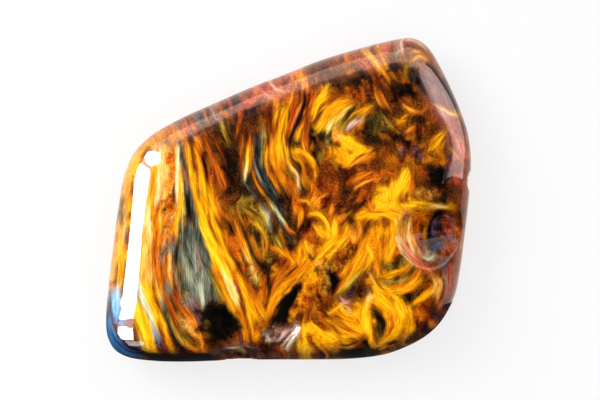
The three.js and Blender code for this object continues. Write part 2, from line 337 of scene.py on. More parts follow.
COLUMNS = [
    patch("gold", (0.66, 0.66, 0.62, 0.56), (160, 160, 34), (160, 200, 34), (158, 240, 34), (157, 280, 30),
          contrast=0.05),
    lock("peach", (0.4, 0.55, 0.5), (149, 168, 6), (147, 200, 8), (145, 220, 8), (144, 240, 8),
         contrast=0.08),
    lock("gold", (0.84, 0.86, 0.87, 0.88), (143, 236, 7), (141.5, 260, 8), (141.5, 280, 8), (144, 296, 7),
         contrast=0.08),
    lock("gold", (0.78, 0.84, 0.82), (156, 162, 6), (154, 180, 7), (152.5, 200, 6), (153, 218, 8),
         (156, 228, 4)),
    lock("peach", (0.95, 0.9), (159.6, 152, 3), (159, 180, 3), (157, 204, 3)),
    lock("peach", (0.7, 0.76, 0.66), (163.5, 150, 6), (162, 176, 6), (160.5, 196, 4)),
    lock("peach", (0.6, 0.5), (167.5, 150, 5), (166.5, 180, 4), (165, 206, 3)),
    patch("rust", (0.72, 0.74, 0.72, 0.68), (172, 148, 9), (171, 180, 10), (168, 202, 13), (163, 222, 16),
          contrast=0.08),
    lock("gold", (0.7, 0.72), (159, 206, 6), (158, 224, 8), (158, 236, 6)),
    lock("rust", (0.4, 0.25, 0.3), (175.3, 176, 1.6), (174, 196, 3.5), (174, 207, 2.5)),
    lock("peach", (0.95, 1.0, 0.9), (177.6, 147, 3.5), (177.6, 180, 3), (176.4, 206, 2), contrast=0.08),
    lock("gold", (0.7, 0.86, 0.84, 0.7), (180, 166, 3), (181, 184, 5), (180.5, 202, 5), (178, 220, 6),
         (175, 236, 5)),
    lock("olive", (0.95, 0.9, 0.75), (183, 182, 1.6), (183.3, 206, 2.6), (182.5, 224, 2.6), (181, 238, 2)),
    lock("peach", (0.7, 0.8, 0.7), (147.5, 208, 4), (149, 226, 5), (150.5, 244, 4)),
    lock("peach", (0.5, 0.55, 0.5), (149, 240, 9), (149, 262, 11), (148, 284, 9), contrast=0.08),
    lock("gold", (0.8, 0.78), (153.5, 228, 3), (153, 244, 4), (152.5, 262, 2)),
    lock("rust", (0.74, 0.66, 0.62, 0.66), (161, 230, 7), (157, 246, 8), (156, 264, 7), (158, 282, 7),
         (161, 294, 5)),
    lock("rust", (0.56, 0.48, 0.5, 0.55), (165, 238, 6), (161.5, 254, 6), (162, 270, 5), (164, 288, 5)),
    lock("rust", (0.78, 0.7, 0.66), (169, 240, 6), (166.5, 262, 6), (168, 282, 5), (171, 296, 4)),
    lock("peach", (0.4, 0.65, 0.6, 0.3), (169, 246, 3), (170, 258, 3), (171, 274, 3.5), (173, 290, 3)),
    lock("rust", (0.6, 0.45, 0.4), (177, 226, 4), (174.5, 244, 5), (173, 266, 4)),
    lock("rust", (0.4, 0.3, 0.24), (164, 276, 3), (166.5, 290, 4), (171, 302, 6), (177, 314, 6)),
    *grains("rust", (0.2, 0.4), 1.3, 80, 6, (171, 165, 9), (168, 205, 14), (163, 240, 10), (161, 270, 7)),
    *grains("peach", (0.7, 1.0), 1.1, 46, 5, (165, 152, 8), (170, 185, 12), (166, 212, 18), (167, 238, 10),
            (163, 262, 6)),
    # the lower left corner
    lock("gold", (0.98, 0.99, 0.96, 0.9), (136, 298, 8), (140, 314, 12), (144, 330, 12), (147, 344, 9),
         (149, 353, 6), contrast=0.08),
    lock("olive", (0.92, 0.9, 0.8), (139, 332, 4), (143, 343, 6), (146, 352, 5), contrast=0.1),
    lock("gold", (0.84, 0.86, 0.84, 0.82), (148, 314, 3), (150, 328, 6), (152, 341, 7), (154.5, 353, 6),
         contrast=0.06),
    lock("gold", (0.86, 0.84, 0.8, 0.8), (144, 286, 7), (148, 301, 7), (152.5, 314, 7), (156, 325, 4),
         (158, 332, 2), contrast=0.08),
    lock("slate", (0.9, 0.97, 0.95, 0.8), (138, 284, 3), (142.5, 297, 5), (147.5, 310, 5), (151.5, 322, 4),
         (154, 331, 3), contrast=0.08),
    lock("blue", (0.6, 0.55, 0.3), (152.5, 325, 4), (156, 336, 8), (160, 347, 8)),
    lock("slate", (0.75, 0.6, 0.3), (154, 328, 3), (157.5, 338, 4), (161, 347, 3)),
    lock("gold", (0.66, 0.74, 0.76, 0.7), (152, 284, 5), (155, 299, 7), (160, 312, 6), (164, 324, 5),
         (167.5, 338, 4), (172, 352, 4)),
    lock("rust", (0.4, 0.1, 0.2), (152, 290, 1.5), (157, 302, 3.5), (161.5, 313, 3), (165, 323, 2)),
    lock("rust", (0.5, 0.5), (162.5, 328, 3), (166, 342, 3), (169, 352, 2)),
    lock("olive", (0.8, 0.9, 0.7), (153, 276, 2.5), (157.5, 288, 3.5), (162, 300, 3), (165, 312, 2)),
    lock("slate", (0.7, 0.5, 0.4, 0.3), (161, 296, 3), (166, 311, 5), (171.5, 326, 6), (180, 347, 6)),
    lock("olive", (0.6, 0.85, 0.75), (166, 304, 1.5), (170, 317, 2.2), (175.5, 330, 2.2), (182, 343, 2)),
    lock("rust", (0.55, 0.5, 0.45), (166, 292, 3), (170.5, 306, 4), (175, 320, 4), (181, 334, 4)),
    lock("gold", (0.66, 0.74, 0.7), (165, 330, 2), (169, 341, 3), (174, 352, 3)),
    lock("gold", 0.12, (172, 332, 4), (177, 344, 5), (184, 352, 6)),
    lock("olive", (0.4, 0.55, 0.6), (178, 320, 3), (184, 334, 4), (191, 347, 4)),
    lock("gold", 0.14, (184, 328, 3), (189, 338, 3)),
    lock("rust", (0.6, 0.7, 0.74, 0.74), (174, 290, 6), (180, 302, 7), (188, 314, 9), (195, 325, 11),
         (200, 340, 12), (202, 352, 9)),
    lock("gold", (0.6, 0.7), (186, 344, 3), (193, 349, 4), (200, 351.5, 3)),
    patch("rust", (0.72, 0.74), (182, 319, 6), (190, 324, 9), (196, 331, 8), contrast=0.2),
    *grains("peach", (0.3, 0.8), 1.5, 26, 8, (182, 319, 8), (189, 324, 12), (194, 332, 8)),
    *grains("rust", (0.1, 0.4), 1.4, 26, 9, (184, 322, 8), (194, 334, 12), (197, 345, 10)),
]

LENS = [
    lock("slate", (0.4, 0.5, 0.4, 0.3), (181.5, 140, 5), (183.5, 158, 6), (186, 178, 6), (188, 200, 9),
         (190, 222, 14)),
    patch("slate", (0.36, 0.42, 0.5, 0.5, 0.42), (191, 222, 16), (192, 236, 26), (195, 256, 36),
          (201, 280, 44), (205, 298, 34), contrast=0.05),
    lock("slate", (0.36, 0.44, 0.54, 0.56, 0.54, 0.5), (190, 216, 14), (192, 232, 24), (194, 250, 34),
         (199, 270, 42), (203, 288, 42), (205, 302, 26), contrast=0.09, ragged=0.3),
    lock("gold", (0.04, 0.02, 0.06), (187.5, 190, 3), (188.5, 206, 5), (190, 222, 5), contrast=0.05),
    lock("slate", (0.15, 0.2), (181, 150, 3), (183, 168, 3)),
    lock("olive", (0.7, 0.6, 0.5), (187.2, 146, 2), (188.5, 165, 2.4), (190, 182, 2)),
    lock("slate", (0.6, 0.66, 0.5), (184.5, 168, 1.6), (187, 184, 1.8), (188, 192, 1.4)),
    lock("olive", (0.3, 0.1, 0.12), (180, 236, 3), (178, 250, 4.5), (177.5, 266, 3.5), contrast=0.08),
    lock("slate", (0.3, 0.26, 0.3, 0.36), (200, 224, 5), (205, 244, 8), (211, 264, 9), (217, 284, 7),
         contrast=0.08),
    lock("slate", (0.7, 0.74, 0.66), (184, 250, 4), (187, 268, 6), (191, 288, 6), contrast=0.08),
    lock("olive", (0.6, 0.74, 0.74, 0.6), (178.3, 262, 2.4), (179.5, 278, 3.4), (183, 292, 3.4),
         (189, 306, 2.4)),
    lock("slate", (0.62, 0.74, 0.7), (194.5, 248, 2), (195, 262, 3), (194.6, 278, 2)),
    lock("mauve", (0.5, 0.6, 0.5), (197, 246, 2), (198.6, 260, 3), (200.6, 276, 2)),
    lock("slate", (0.7, 0.78, 0.84, 0.84), (199, 278, 6), (201, 290, 6), (202, 300, 5), (203, 307, 3),
         contrast=0.06),
    lock("slate", (0.6, 0.64, 0.6), (205, 270, 5), (208, 284, 5), (210, 296, 4), contrast=0.08),
    lock("olive", (0.5, 0.6, 0.56, 0.5), (211, 272, 4), (216, 286, 6), (221, 300, 6), (228, 314, 4)),
    lock("mauve", (0.5, 0.5, 0.44), (189, 300, 4), (195, 311, 5), (200, 320, 4)),
    patch("gold", 0.015, (212, 303, 8), (221, 308, 16), (230, 326, 14), contrast=0.01),
    patch("gold", (0.12, 0.16), (206, 340, 4), (216, 345, 6), (222, 346, 4), contrast=0.1),
]

MAIN_BAND = [
    patch("rust", (0.5, 0.54, 0.54, 0.54, 0.56), (196, 144, 16), (202, 176, 18), (208, 206, 20),
          (220, 240, 20), (233, 270, 22), (246, 300, 22), contrast=0.1),
    lock("gold", (0.84, 0.84, 0.85, 0.84), (186.5, 144, 3), (189, 164, 3.6), (192, 182, 5), (196, 200, 6),
         (199, 212, 6)),
    lock("gold", (0.8, 0.86, 0.9, 0.92, 0.9, 0.88), (197, 196, 6), (202, 212, 9), (208, 230, 12),
         (217, 250, 14), (226, 268, 14), (233, 282, 12), contrast=0.08),
    lock("gold", (0.7, 0.8, 0.84, 0.84, 0.8), (192, 144, 2.4), (198, 160, 3.4), (202, 178, 5),
         (204, 196, 6), (207, 210, 5)),
    lock("rust", (0.7, 0.75, 0.6), (196, 138, 4), (200, 152, 3.4), (206, 172, 3.4), (210, 190, 2)),
    lock("rust", (0.2, 0.3, 0.4), (191.3, 150, 1.6), (193.5, 166, 1.8), (196, 182, 1.8), (200, 200, 1.3)),
    lock("rust", (0.3, 0.3), (201, 152, 3), (206, 168, 3), (207.5, 184, 2.2), (209, 200, 1.6)),
    lock("gold", (0.8, 0.87, 0.87, 0.8), (208.7, 180, 2.6), (211.5, 194, 5), (214, 208, 4.4),
         (219, 222, 3)),
    lock("gold", (0.72, 0.78, 0.78, 0.76, 0.7), (210, 206, 3), (213.5, 222, 5), (219.5, 238, 6),
         (227, 254, 5), (235, 268, 4)),
    lock("gold", (0.4, 0.45, 0.4), (208, 206, 1.4), (211.5, 222, 1.6), (217, 238, 1.6), (223, 250, 1.3)),
    lock("rust", (0.6, 0.72, 0.74), (215.5, 196, 3), (217.5, 208, 4), (220, 216, 3)),
    lock("rust", (0.35, 0.25, 0.3), (215, 212, 1.6), (219.5, 226, 2.4), (225, 240, 2.6), (233, 256, 2.4),
         (243, 274, 2.4), (252, 290, 2)),
    lock("gold", (0.55, 0.6, 0.5), (221, 226, 2), (227, 242, 2.4), (233, 254, 2)),
    lock("gold", (0.8, 0.72, 0.7, 0.66), (213, 262, 4), (219, 276, 5), (227, 294, 6), (233, 308, 6),
         (238, 322, 5)),
    lock("olive", (0.85, 0.95, 0.95, 0.8), (224, 274, 3), (229, 286, 5), (235, 296, 6), (240, 308, 4)),
    lock("peach", (0.9, 1.0, 0.9), (231, 280, 2), (235, 290, 2.4), (238, 300, 2)),
    lock("gold", (0.8, 0.84, 0.86, 0.84, 0.78), (236, 272, 5), (242, 284, 6), (247, 296, 7), (252, 308, 8),
         (258, 322, 6), contrast=0.1),
    lock("rust", (0.3, 0.4), (234.5, 280, 1.4), (240, 292, 1.8), (243, 302, 1.6)),
    lock("rust", (0.4, 0.45), (238.5, 300, 1.8), (243, 314, 1.8), (246, 328, 1.6)),
    lock("gold", (0.7, 0.66, 0.55, 0.4), (236, 304, 5), (241, 318, 7), (245, 332, 7), (247, 345, 6)),
    lock("gold", (0.84, 0.84, 0.7), (245, 302, 4), (249.5, 316, 5), (252, 330, 4), (254, 340, 3)),
    lock("rust", (0.3, 0.2), (236, 326, 3), (240, 338, 4), (242, 347, 4)),
    lock("rust", (0.5, 0.66), (246, 282, 3), (254, 296, 3), (262, 308, 3)),
    lock("gold", (0.75, 0.8), (251, 296, 3), (259, 308, 4), (266, 318, 3)),
    patch("gold", (0.6, 0.55), (254, 326, 12), (260, 334, 14), contrast=0.24),
]

UPPER_MIDDLE = [
    patch("rust", (0.14, 0.1, 0.12), (214, 122, 26), (238, 116, 34), (260, 112, 30), contrast=0.08),
    patch("gold", (0.07, 0.05, 0.06), (214, 146, 24), (232, 160, 34), (240, 186, 28), contrast=0.06),
    patch("olive", (0.1, 0.08), (252, 150, 26), (258, 180, 26), contrast=0.06),
    lock("rust", (0.3, 0.5, 0.55, 0.4), (203, 130, 5), (210, 150, 6), (217, 172, 6), (224, 196, 5),
         contrast=0.2),
    lock("rust", (0.5, 0.66, 0.6), (211, 150, 2), (218, 168, 2.6), (225, 186, 2)),
    lock("rust", (0.3, 0.34, 0.2), (213, 130, 1.8), (220, 150, 2), (228, 170, 1.6)),
    lock("olive", (0.5, 0.62, 0.6, 0.3), (221, 118, 4), (224, 129, 4.4), (228, 140, 3.4), (232, 149, 2)),
    lock("olive", (0.55, 0.5), (227.5, 114, 1.4), (229.5, 132, 1.4)),
    lock("rust", (0.5, 0.52, 0.3), (240.5, 110, 3), (238.5, 124, 2.4), (236, 140, 2)),
    lock("rust", (0.22, 0.4, 0.5), (246, 128, 8), (247, 138, 7), (247, 148, 5), contrast=0.1),
    lock("gold", (0.3, 0.44, 0.46, 0.3), (241.5, 136, 2.6), (242, 152, 3.4), (242.5, 166, 3.4),
         (243, 178, 2)),
    lock("gold", (0.3, 0.5, 0.4), (253, 138, 2), (252.5, 154, 3), (250, 172, 2)),
    lock("rust", (0.5, 0.78, 0.7), (249.5, 137, 3), (249.5, 148, 4), (248.5, 158, 3)),
    lock("gold", (0.8, 0.95, 1.0), (249, 148, 2.6), (248, 158, 3.4), (246.8, 168, 3.4)),
    lock("peach", (0.7, 1.0, 0.9), (248, 156, 1.6), (246.8, 168, 2.8), (245, 181, 2)),
    lock("slate", (0.14, 0.2, 0.2, 0.12), (256, 136, 4), (262, 172, 8), (270, 190, 9), (286, 226, 8),
         contrast=0.1),
    lock("olive", (0.4, 0.6, 0.66, 0.55), (262, 125, 2), (264.8, 138, 3), (263.4, 152, 3),
         (260.6, 168, 2.4)),
    lock("slate", 0.6, (262, 136, 1.2), (261.4, 154, 1.4)),
    lock("rust", (0.3, 0.4), (268, 114, 1.6), (267.6, 132, 1.8)),
    lock("gold", (0.5, 0.6, 0.66, 0.66), (253, 172, 2), (256, 182, 3), (263, 193, 3), (272, 205, 2.4)),
    lock("slate", (0.8, 1.0, 0.8), (255, 162, 1.6), (258, 172, 2.6), (262, 183, 1.6)),
    lock("slate", (0.6, 0.5, 0.6), (262, 183, 1.2), (267, 193, 1.2), (272, 203, 1.2)),
    lock("slate", (0.4, 0.45, 0.4), (268, 180, 1.2), (276, 196, 1.2), (286, 214, 1.2)),
    lock("gold", (0.6, 0.74, 0.74, 0.6), (269, 148, 2), (267.5, 162, 2.6), (270, 174, 2.8),
         (279, 189, 2.6)),
    lock("gold", (0.85, 0.95, 0.8), (267.8, 164, 1), (269.8, 173, 1.2), (274, 181, 1)),
    # the great bend
    patch("rust", (0.62, 0.6), (280, 100, 22), (296, 96, 20), contrast=0.1),
    lock("gold", (0.74, 0.82, 0.8, 0.6, 0.55), (284, 104, 13), (277.5, 136, 11), (277, 158, 11),
         (284, 178, 10), (291, 194, 10)),
    lock("gold", (0.86, 0.9, 0.88), (282.5, 108, 5), (279.5, 124, 5.4), (278, 138, 4)),
    lock("rust", (0.5, 0.6, 0.6), (273.5, 118, 2), (272, 140, 2), (272, 160, 2)),
    lock("gold", (0.95, 0.98, 0.86), (279.6, 134, 1.6), (279.2, 148, 1.8), (280.5, 160, 1.4)),
    lock("gold", (0.84, 0.86, 0.8), (274, 140, 2.4), (274, 156, 3), (276.5, 170, 2.4)),
    lock("rust", (0.62, 0.66, 0.64, 0.4), (298, 98, 10), (294, 112, 9), (290, 126, 6), (287, 141, 2.4)),
    lock("rust", (0.3, 0.36), (289.5, 108, 1.4), (286.5, 126, 1.6)),
    lock("ember", (0.6, 0.66), (297, 106, 2), (292, 124, 2)),
    lock("rust", 0.14, (276, 110, 0.9), (288, 106, 1), (301, 102, 0.9), contrast=0.02),
    lock("rust", (0.25, 0.2, 0.25), (284.4, 120, 1.3), (283, 142, 1.5), (286, 160, 1.5)),
    lock("gold", (0.86, 0.96, 1.0, 0.95), (285, 128, 1.6), (284.4, 148, 2.2), (290, 166, 2.4),
         (298, 178, 2.4)),
    lock("peach", (0.9, 1.0, 0.9), (291, 167, 1.4), (298, 176, 2), (300, 188, 1.6)),
    lock("gold", 0.1, (288, 148, 2), (291, 158, 2.2), (297, 166, 2.2), (302, 178, 2)),
    lock("gold", (0.8, 0.95, 0.9, 0.8), (288.6, 148, 1.6), (292.6, 157, 2), (303, 170, 2),
         (305.6, 188, 1.4)),
    lock("gold", (0.66, 0.7), (293, 152, 1.6), (303, 163, 1.8)),
    lock("gold", 0.04, (305, 90, 6), (302.5, 106, 6), (297, 122, 5.4), (290, 145, 3), contrast=0.04),
    lock("gold", (0.5, 0.7, 0.74), (307, 115, 3), (301, 127, 4), (296, 140, 3)),
    lock("rust", (0.4, 0.5, 0.4), (311, 104, 2.4), (306, 118, 2.4), (303, 130, 2)),
    patch("gold", 0.03, (295, 143, 6), (300, 147, 7), contrast=0.03),
    lock("rust", (0.4, 0.5, 0.6), (307, 124, 4), (307, 136, 4.4), (308, 148, 5), contrast=0.2),
    patch("gold", (0.05, 0.06), (312, 132, 5), (314, 144, 5), contrast=0.04),
    lock("gold", (0.74, 0.84, 0.8), (293, 152, 3), (299, 150.6, 4.4), (304, 154, 4)),
    lock("gold", (0.66, 0.8, 0.82, 0.7, 0.6), (301, 153, 6), (308, 159, 8), (314, 168, 7), (316, 179, 5.4),
         (313, 189, 3)),
    lock("gold", 0.2, (308, 164, 1.2), (312.5, 174, 1.4), (312, 184, 1)),
    lock("gold", (0.5, 0.6), (304, 168, 2), (308, 182, 2.4)),
    patch("olive", 0.08, (284, 173, 3), (288, 176, 4.4), contrast=0.03),
    lock("olive", 0.5, (282, 171, 1.4), (288, 171.6, 1.4), (291, 176, 1.2)),
    lock("rust", (0.5, 0.56), (282, 180, 3), (290, 193, 4)),
    lock("rust", 0.1, (281, 184, 1.6), (285, 194, 2.4), (288, 204, 2.4)),
    lock("rust", (0.6, 0.7), (297, 182, 3), (297, 194, 3)),
    lock("gold", 0.06, (303, 186, 3), (307, 194, 3)),
]

EYE = [
    patch("gold", (0.03, 0.04, 0.04), (230, 188, 14), (244, 194, 22), (262, 196, 18), contrast=0.04),
    patch("gold", (0.4, 0.44), (230, 200, 8), (236, 222, 10), contrast=0.08),
    patch("olive", (0.44, 0.52, 0.46, 0.44), (240, 206, 12), (252, 216, 22), (266, 232, 24), (276, 246, 20),
          contrast=0.08),
    lock("slate", (0.12, 0.1, 0.12), (262, 184, 8), (274, 206, 10), (286, 230, 9), contrast=0.06),
    patch("gold", 0.03, (278, 196, 8), (286, 212, 8), contrast=0.03),
    lock("slate", (0.3, 0.3), (244, 182, 1.4), (256, 199, 1.4)),
    lock("olive", (0.7, 1.0, 1.0, 0.9), (268, 199, 1.2), (276, 211, 1.8), (283, 221, 2.2), (287, 228, 2)),
    lock("slate", (0.7, 0.9, 0.8), (274, 208, 1.2), (280, 218, 1.4), (285, 226, 1.2)),
    lock("rust", (0.6, 0.72, 0.66), (284, 226, 3), (289, 231, 3.6), (296, 234, 3)),
    lock("gold", (0.5, 0.55, 0.45), (222, 206, 3), (228, 222, 4), (235, 240, 4)),
    lock("gold", 0.03, (224, 212, 3), (229, 226, 5), (235, 242, 6), (242, 258, 5), (245, 268, 3),
         contrast=0.03),
    lock("rust", 0.66, (240, 258, 3), (243, 263, 3)),
    lock("gold", (0.5, 0.7, 0.74, 0.7), (229, 208, 3), (235, 224, 4), (241, 240, 5), (250, 262, 5)),
    lock("gold", (0.8, 0.98, 0.9), (240, 236, 1.4), (246, 247, 1.8), (251, 258, 1.4)),
    lock("olive", (0.7, 0.9, 0.85), (246, 252, 3), (252, 266, 4.4), (257, 282, 3.4)),
    lock("gold", 0.12, (235, 206, 1.6), (240, 222, 2), (247, 240, 2), (252, 252, 1.6)),
    lock("gold", (0.5, 0.6, 0.5), (237, 204, 3), (242, 220, 4), (248, 236, 3)),
    lock("olive", (0.6, 0.72, 0.72, 0.6), (240, 203, 3), (248, 208, 5), (258, 216, 5), (266, 228, 4)),
    lock("gold", (0.6, 0.66), (244, 208, 4), (254, 218, 5)),
    lock("olive", (0.3, 0.3), (246, 214, 1.4), (254, 222, 1.4)),
    lock("slate", (0.6, 0.9, 0.8, 0.6), (262, 205, 2), (267, 213, 3), (270, 224, 2.4), (274, 236, 2)),
    lock("olive", (0.8, 0.9, 0.7), (259, 208, 2), (265, 217, 2.4), (269, 228, 2)),
    lock("gold", (0.5, 0.9, 0.95, 0.7, 0.6), (244, 211, 2), (251, 221, 2.4), (261, 229, 2.6),
         (267, 242, 2.2), (265, 254, 2)),
    patch("olive", (0.3, 0.26), (254, 232, 8), (259, 243, 8), contrast=0.05),
    lock("olive", (0.4, 0.36), (252, 230, 1.6), (257, 246, 2)),
    lock("gold", (0.5, 0.55, 0.6), (250, 238, 2.4), (256, 249, 3), (263, 257, 4)),
    lock("gold", (0.5, 0.6), (262, 238, 2), (263, 250, 3)),
    lock("olive", (0.35, 0.4), (247, 240, 3), (254, 256, 3)),
    lock("gold", 0.08, (250, 246, 1.6), (256, 258, 3), (264, 268, 4), contrast=0.04),
    lock("olive", (0.5, 0.6, 0.5), (272, 228, 2), (276, 240, 3), (282, 250, 3)),
    lock("gold", (0.4, 0.5), (277, 232, 2), (284, 244, 3)),
    lock("olive", (0.8, 0.85), (276, 236, 1.2), (280, 248, 1.4)),
    lock("gold", (0.64, 0.72, 0.7), (270, 246, 3), (280, 252, 4.4), (292, 262, 5)),
    patch("gold", (0.06, 0.08), (286, 236, 7), (292, 242, 9), contrast=0.04),
    lock("slate", 0.4, (287, 234, 1.6), (291, 240, 2)),
    patch("rust", 0.2, (270, 256, 4), (278, 260, 5), contrast=0.1),
]

FAN = [
    patch("gold", (0.3, 0.22, 0.2), (308, 88, 16), (330, 84, 22), (350, 82, 20), contrast=0.16),
    patch("rust", (0.6, 0.55), (304, 88, 12), (314, 94, 14), contrast=0.12),
    patch("gold", 0.02, (358, 80, 14), (368, 90, 14), (374, 100, 8), contrast=0.03),
    patch("rust", (0.5, 0.52, 0.45), (346, 100, 12), (358, 97, 18), (368, 104, 10), contrast=0.1),
    patch("olive", (0.34, 0.28, 0.2), (364, 118, 14), (372, 122, 18), (368, 136, 22), contrast=0.08),
    lock("rust", (0.6, 0.75, 0.7), (313, 88, 6), (311, 100, 6), (306, 116, 4)),
    lock("gold", (0.84, 0.88, 0.86, 0.78), (332, 88, 7), (326, 97, 11), (318, 107, 9), (311, 120, 4),
         contrast=0.07),
    lock("rust", (0.55, 0.45, 0.35), (335, 96, 4), (323, 107, 6), (312, 122, 5)),
    lock("gold", (0.5, 0.62, 0.6), (348, 95, 1.6), (332, 102, 2), (319, 114, 1.8)),
    lock("rust", (0.6, 0.7, 0.5), (340, 98, 4), (328, 108, 4), (317, 119, 4)),
    lock("gold", (0.8, 0.86, 0.88, 0.94), (353, 104, 5), (339, 109, 14), (327, 120, 16), (318, 133, 12),
         contrast=0.07),
    lock("olive", (0.78, 0.84, 0.88, 0.84), (349, 108, 4), (339, 117, 10), (331, 127, 12), (327, 138, 10),
         contrast=0.08),
    lock("peach", (0.5, 0.7, 0.76, 0.66), (344, 111, 2), (339, 119, 4), (334.5, 129, 4), (333.5, 139, 3)),
    lock("peach", (0.4, 0.6, 0.5), (332, 119, 3), (326, 128, 4), (323, 135, 3)),
    lock("gold", (0.84, 0.86), (322, 118, 3), (316, 130, 4)),
    lock("olive", (0.6, 0.55, 0.7), (352, 110, 4), (345, 120, 6), (339, 131, 6)),
    lock("gold", (0.74, 0.72, 0.66, 0.55), (373, 107, 4), (365, 113, 8), (359, 122, 9), (352, 132, 6),
         contrast=0.1),
    lock("gold", (0.8, 0.76, 0.74), (372, 106, 3), (362, 108, 4), (352, 113, 4)),
    lock("olive", (0.55, 0.7, 0.6), (364, 112, 3), (354, 119, 5), (346, 129, 5)),
    lock("mauve", (0.7, 0.84, 0.7), (360, 116, 3), (353, 123, 5), (347.5, 131, 4)),
    lock("rust", (0.4, 0.5), (352, 114, 1.4), (343, 124, 1.8)),
    lock("gold", (0.6, 0.55), (340, 111, 1), (328, 122, 1.2), (322, 132, 1)),
    patch("gold", (0.04, 0.06, 0.05), (311, 135, 6), (324, 138, 7), (335, 142, 6), contrast=0.1),
    lock("gold", (0.74, 0.8), (314, 139, 1.6), (318, 139.5, 1.8)),
    lock("gold", (0.7, 0.74), (314.5, 142, 2), (313, 149, 2.6)),
    patch("rust", (0.72, 0.7), (338, 132, 9), (340, 140, 10), contrast=0.24),
    patch("gold", 0.05, (315, 146, 6), (317, 157, 8), (320, 168, 6), contrast=0.05),
    lock("rust", (0.6, 0.7, 0.74), (306, 128, 5), (305, 142, 6), (309, 155, 4)),
]

UPPER_RIGHT = [
    patch("gold", (0.2, 0.24, 0.22), (384, 80, 30), (400, 100, 40), (412, 124, 40), contrast=0.14),
    patch("gold", (0.28, 0.26), (432, 118, 22), (440, 140, 26), contrast=0.12),
    patch("rust", (0.36, 0.36, 0.4), (374, 66, 12), (381, 84, 14), (388, 104, 16), contrast=0.16),
    lock("gold", (0.7, 0.8, 0.76, 0.6), (379, 50, 2.6), (385, 62, 3), (391, 73, 3), (396, 81, 2)),
    lock("gold", (0.6, 0.74, 0.6), (374, 54, 2), (382, 68, 2.2), (390, 84, 2)),
    lock("rust", (0.5, 0.66, 0.5), (371, 66, 1.8), (379, 80, 2.2), (389, 94, 2)),
    lock("rust", 0.16, (374, 72, 2), (381, 86, 2.4), (387, 96, 2)),
    lock("gold", (0.5, 0.7, 0.74, 0.5), (372, 82, 1.6), (377, 93, 2.4), (380, 101, 2.4), (384, 108, 1.4)),
    lock("rust", (0.56, 0.62, 0.5), (380, 92, 3), (385, 102, 4), (390, 112, 3), contrast=0.22),
    patch("gold", 0.02, (380, 108, 6), (388, 116, 8), contrast=0.03),
    patch("olive", (0.2, 0.22), (370, 118, 14), (378, 130, 16), contrast=0.08),
    lock("olive", (0.4, 0.72, 0.66, 0.4), (379, 110, 1.4), (384, 119, 2), (391, 126, 2.4), (399, 131, 2)),
    lock("gold", (0.3, 0.5), (388, 118, 1.6), (400, 122, 2)),
    patch("gold", 0.015, (392, 66, 10), (401, 70, 10), contrast=0.02),
    patch("gold", 0.015, (413, 66, 8), (416, 78, 9), (420, 88, 5), contrast=0.02),
    patch("gold", (0.04, 0.06, 0.04), (390, 92, 10), (404, 90, 9), (418, 92, 9), contrast=0.04),
    lock("olive", (0.5, 0.5, 0.45, 0.3), (410, 58, 2), (406.5, 66, 3), (405.5, 76, 3.4), (408, 84, 2.4)),
    lock("gold", (0.4, 0.5, 0.3), (398, 86, 1.6), (406, 82, 2.4), (413, 88, 1.6)),
    lock("rust", (0.4, 0.45), (398, 100, 5), (412, 106, 6), contrast=0.2),
    lock("rust", (0.5, 0.6, 0.5), (404, 108, 3), (414, 112, 4), (424, 116, 3), contrast=0.24),
    lock("gold", (0.74, 0.8, 0.74), (398.5, 124, 3), (402, 122, 4.4), (408, 122, 3), contrast=0.16),
    lock("gold", (0.6, 0.7), (402, 119, 2), (409, 116, 2.4)),
    lock("rust", (0.6, 0.66, 0.5), (402, 133, 2), (408, 129, 2.4), (415, 127, 2)),
    lock("gold", (0.4, 0.66, 0.5), (429, 99, 1.4), (427, 108, 2), (421, 115, 2)),
    patch("gold", 0.05, (416, 122, 9), (428, 124, 10), contrast=0.05),
    patch("gold", (0.06, 0.1, 0.1), (394, 134, 10), (406, 141, 12), (420, 138, 10), contrast=0.08),
    lock("gold", (0.6, 0.76, 0.78, 0.66), (444, 131, 2.4), (438, 136, 4), (432, 143, 5), (427, 150, 3)),
    lock("gold", (0.66, 0.8, 0.74), (446, 133, 2), (440, 141, 3.4), (433, 151, 3)),
    lock("gold", (0.55, 0.7, 0.66), (447, 138, 2), (442, 147, 3), (438, 154, 2.4)),
    lock("gold", 0.14, (443, 135, 0.9), (435, 144, 1), (430, 150, 0.9)),
    lock("gold", 0.14, (446, 139, 0.9), (438, 150, 1)),
    patch("mauve", (0.4, 0.42, 0.4), (404, 148, 6), (414, 151, 8), (422, 158, 6), contrast=0.03),
    patch("gold", (0.26, 0.34, 0.34), (386, 150, 12), (398, 162, 18), (414, 168, 16), contrast=0.14),
    patch("gold", (0.34, 0.4, 0.36), (428, 154, 10), (438, 160, 12), (446, 162, 8), contrast=0.2),
    lock("gold", (0.6, 0.5), (430, 158, 1.6), (437, 160, 2)),
    lock("gold", (0.5, 0.56), (438, 155, 1.6), (446, 162, 1.8)),
    patch("gold", 0.015, (430, 172, 7), (440, 176, 12), (447, 178, 8), contrast=0.02),
    patch("rust", (0.3, 0.34), (418, 168, 7), (424, 176, 7), contrast=0.12),
    *grains("gold", (0.02, 0.08), 1.6, 30, 31, (384, 130, 20), (402, 140, 24), (420, 146, 20)),
    *grains("gold", (0.5, 0.8), 1.0, 24, 32, (390, 124, 20), (410, 134, 30), (436, 160, 16)),
]

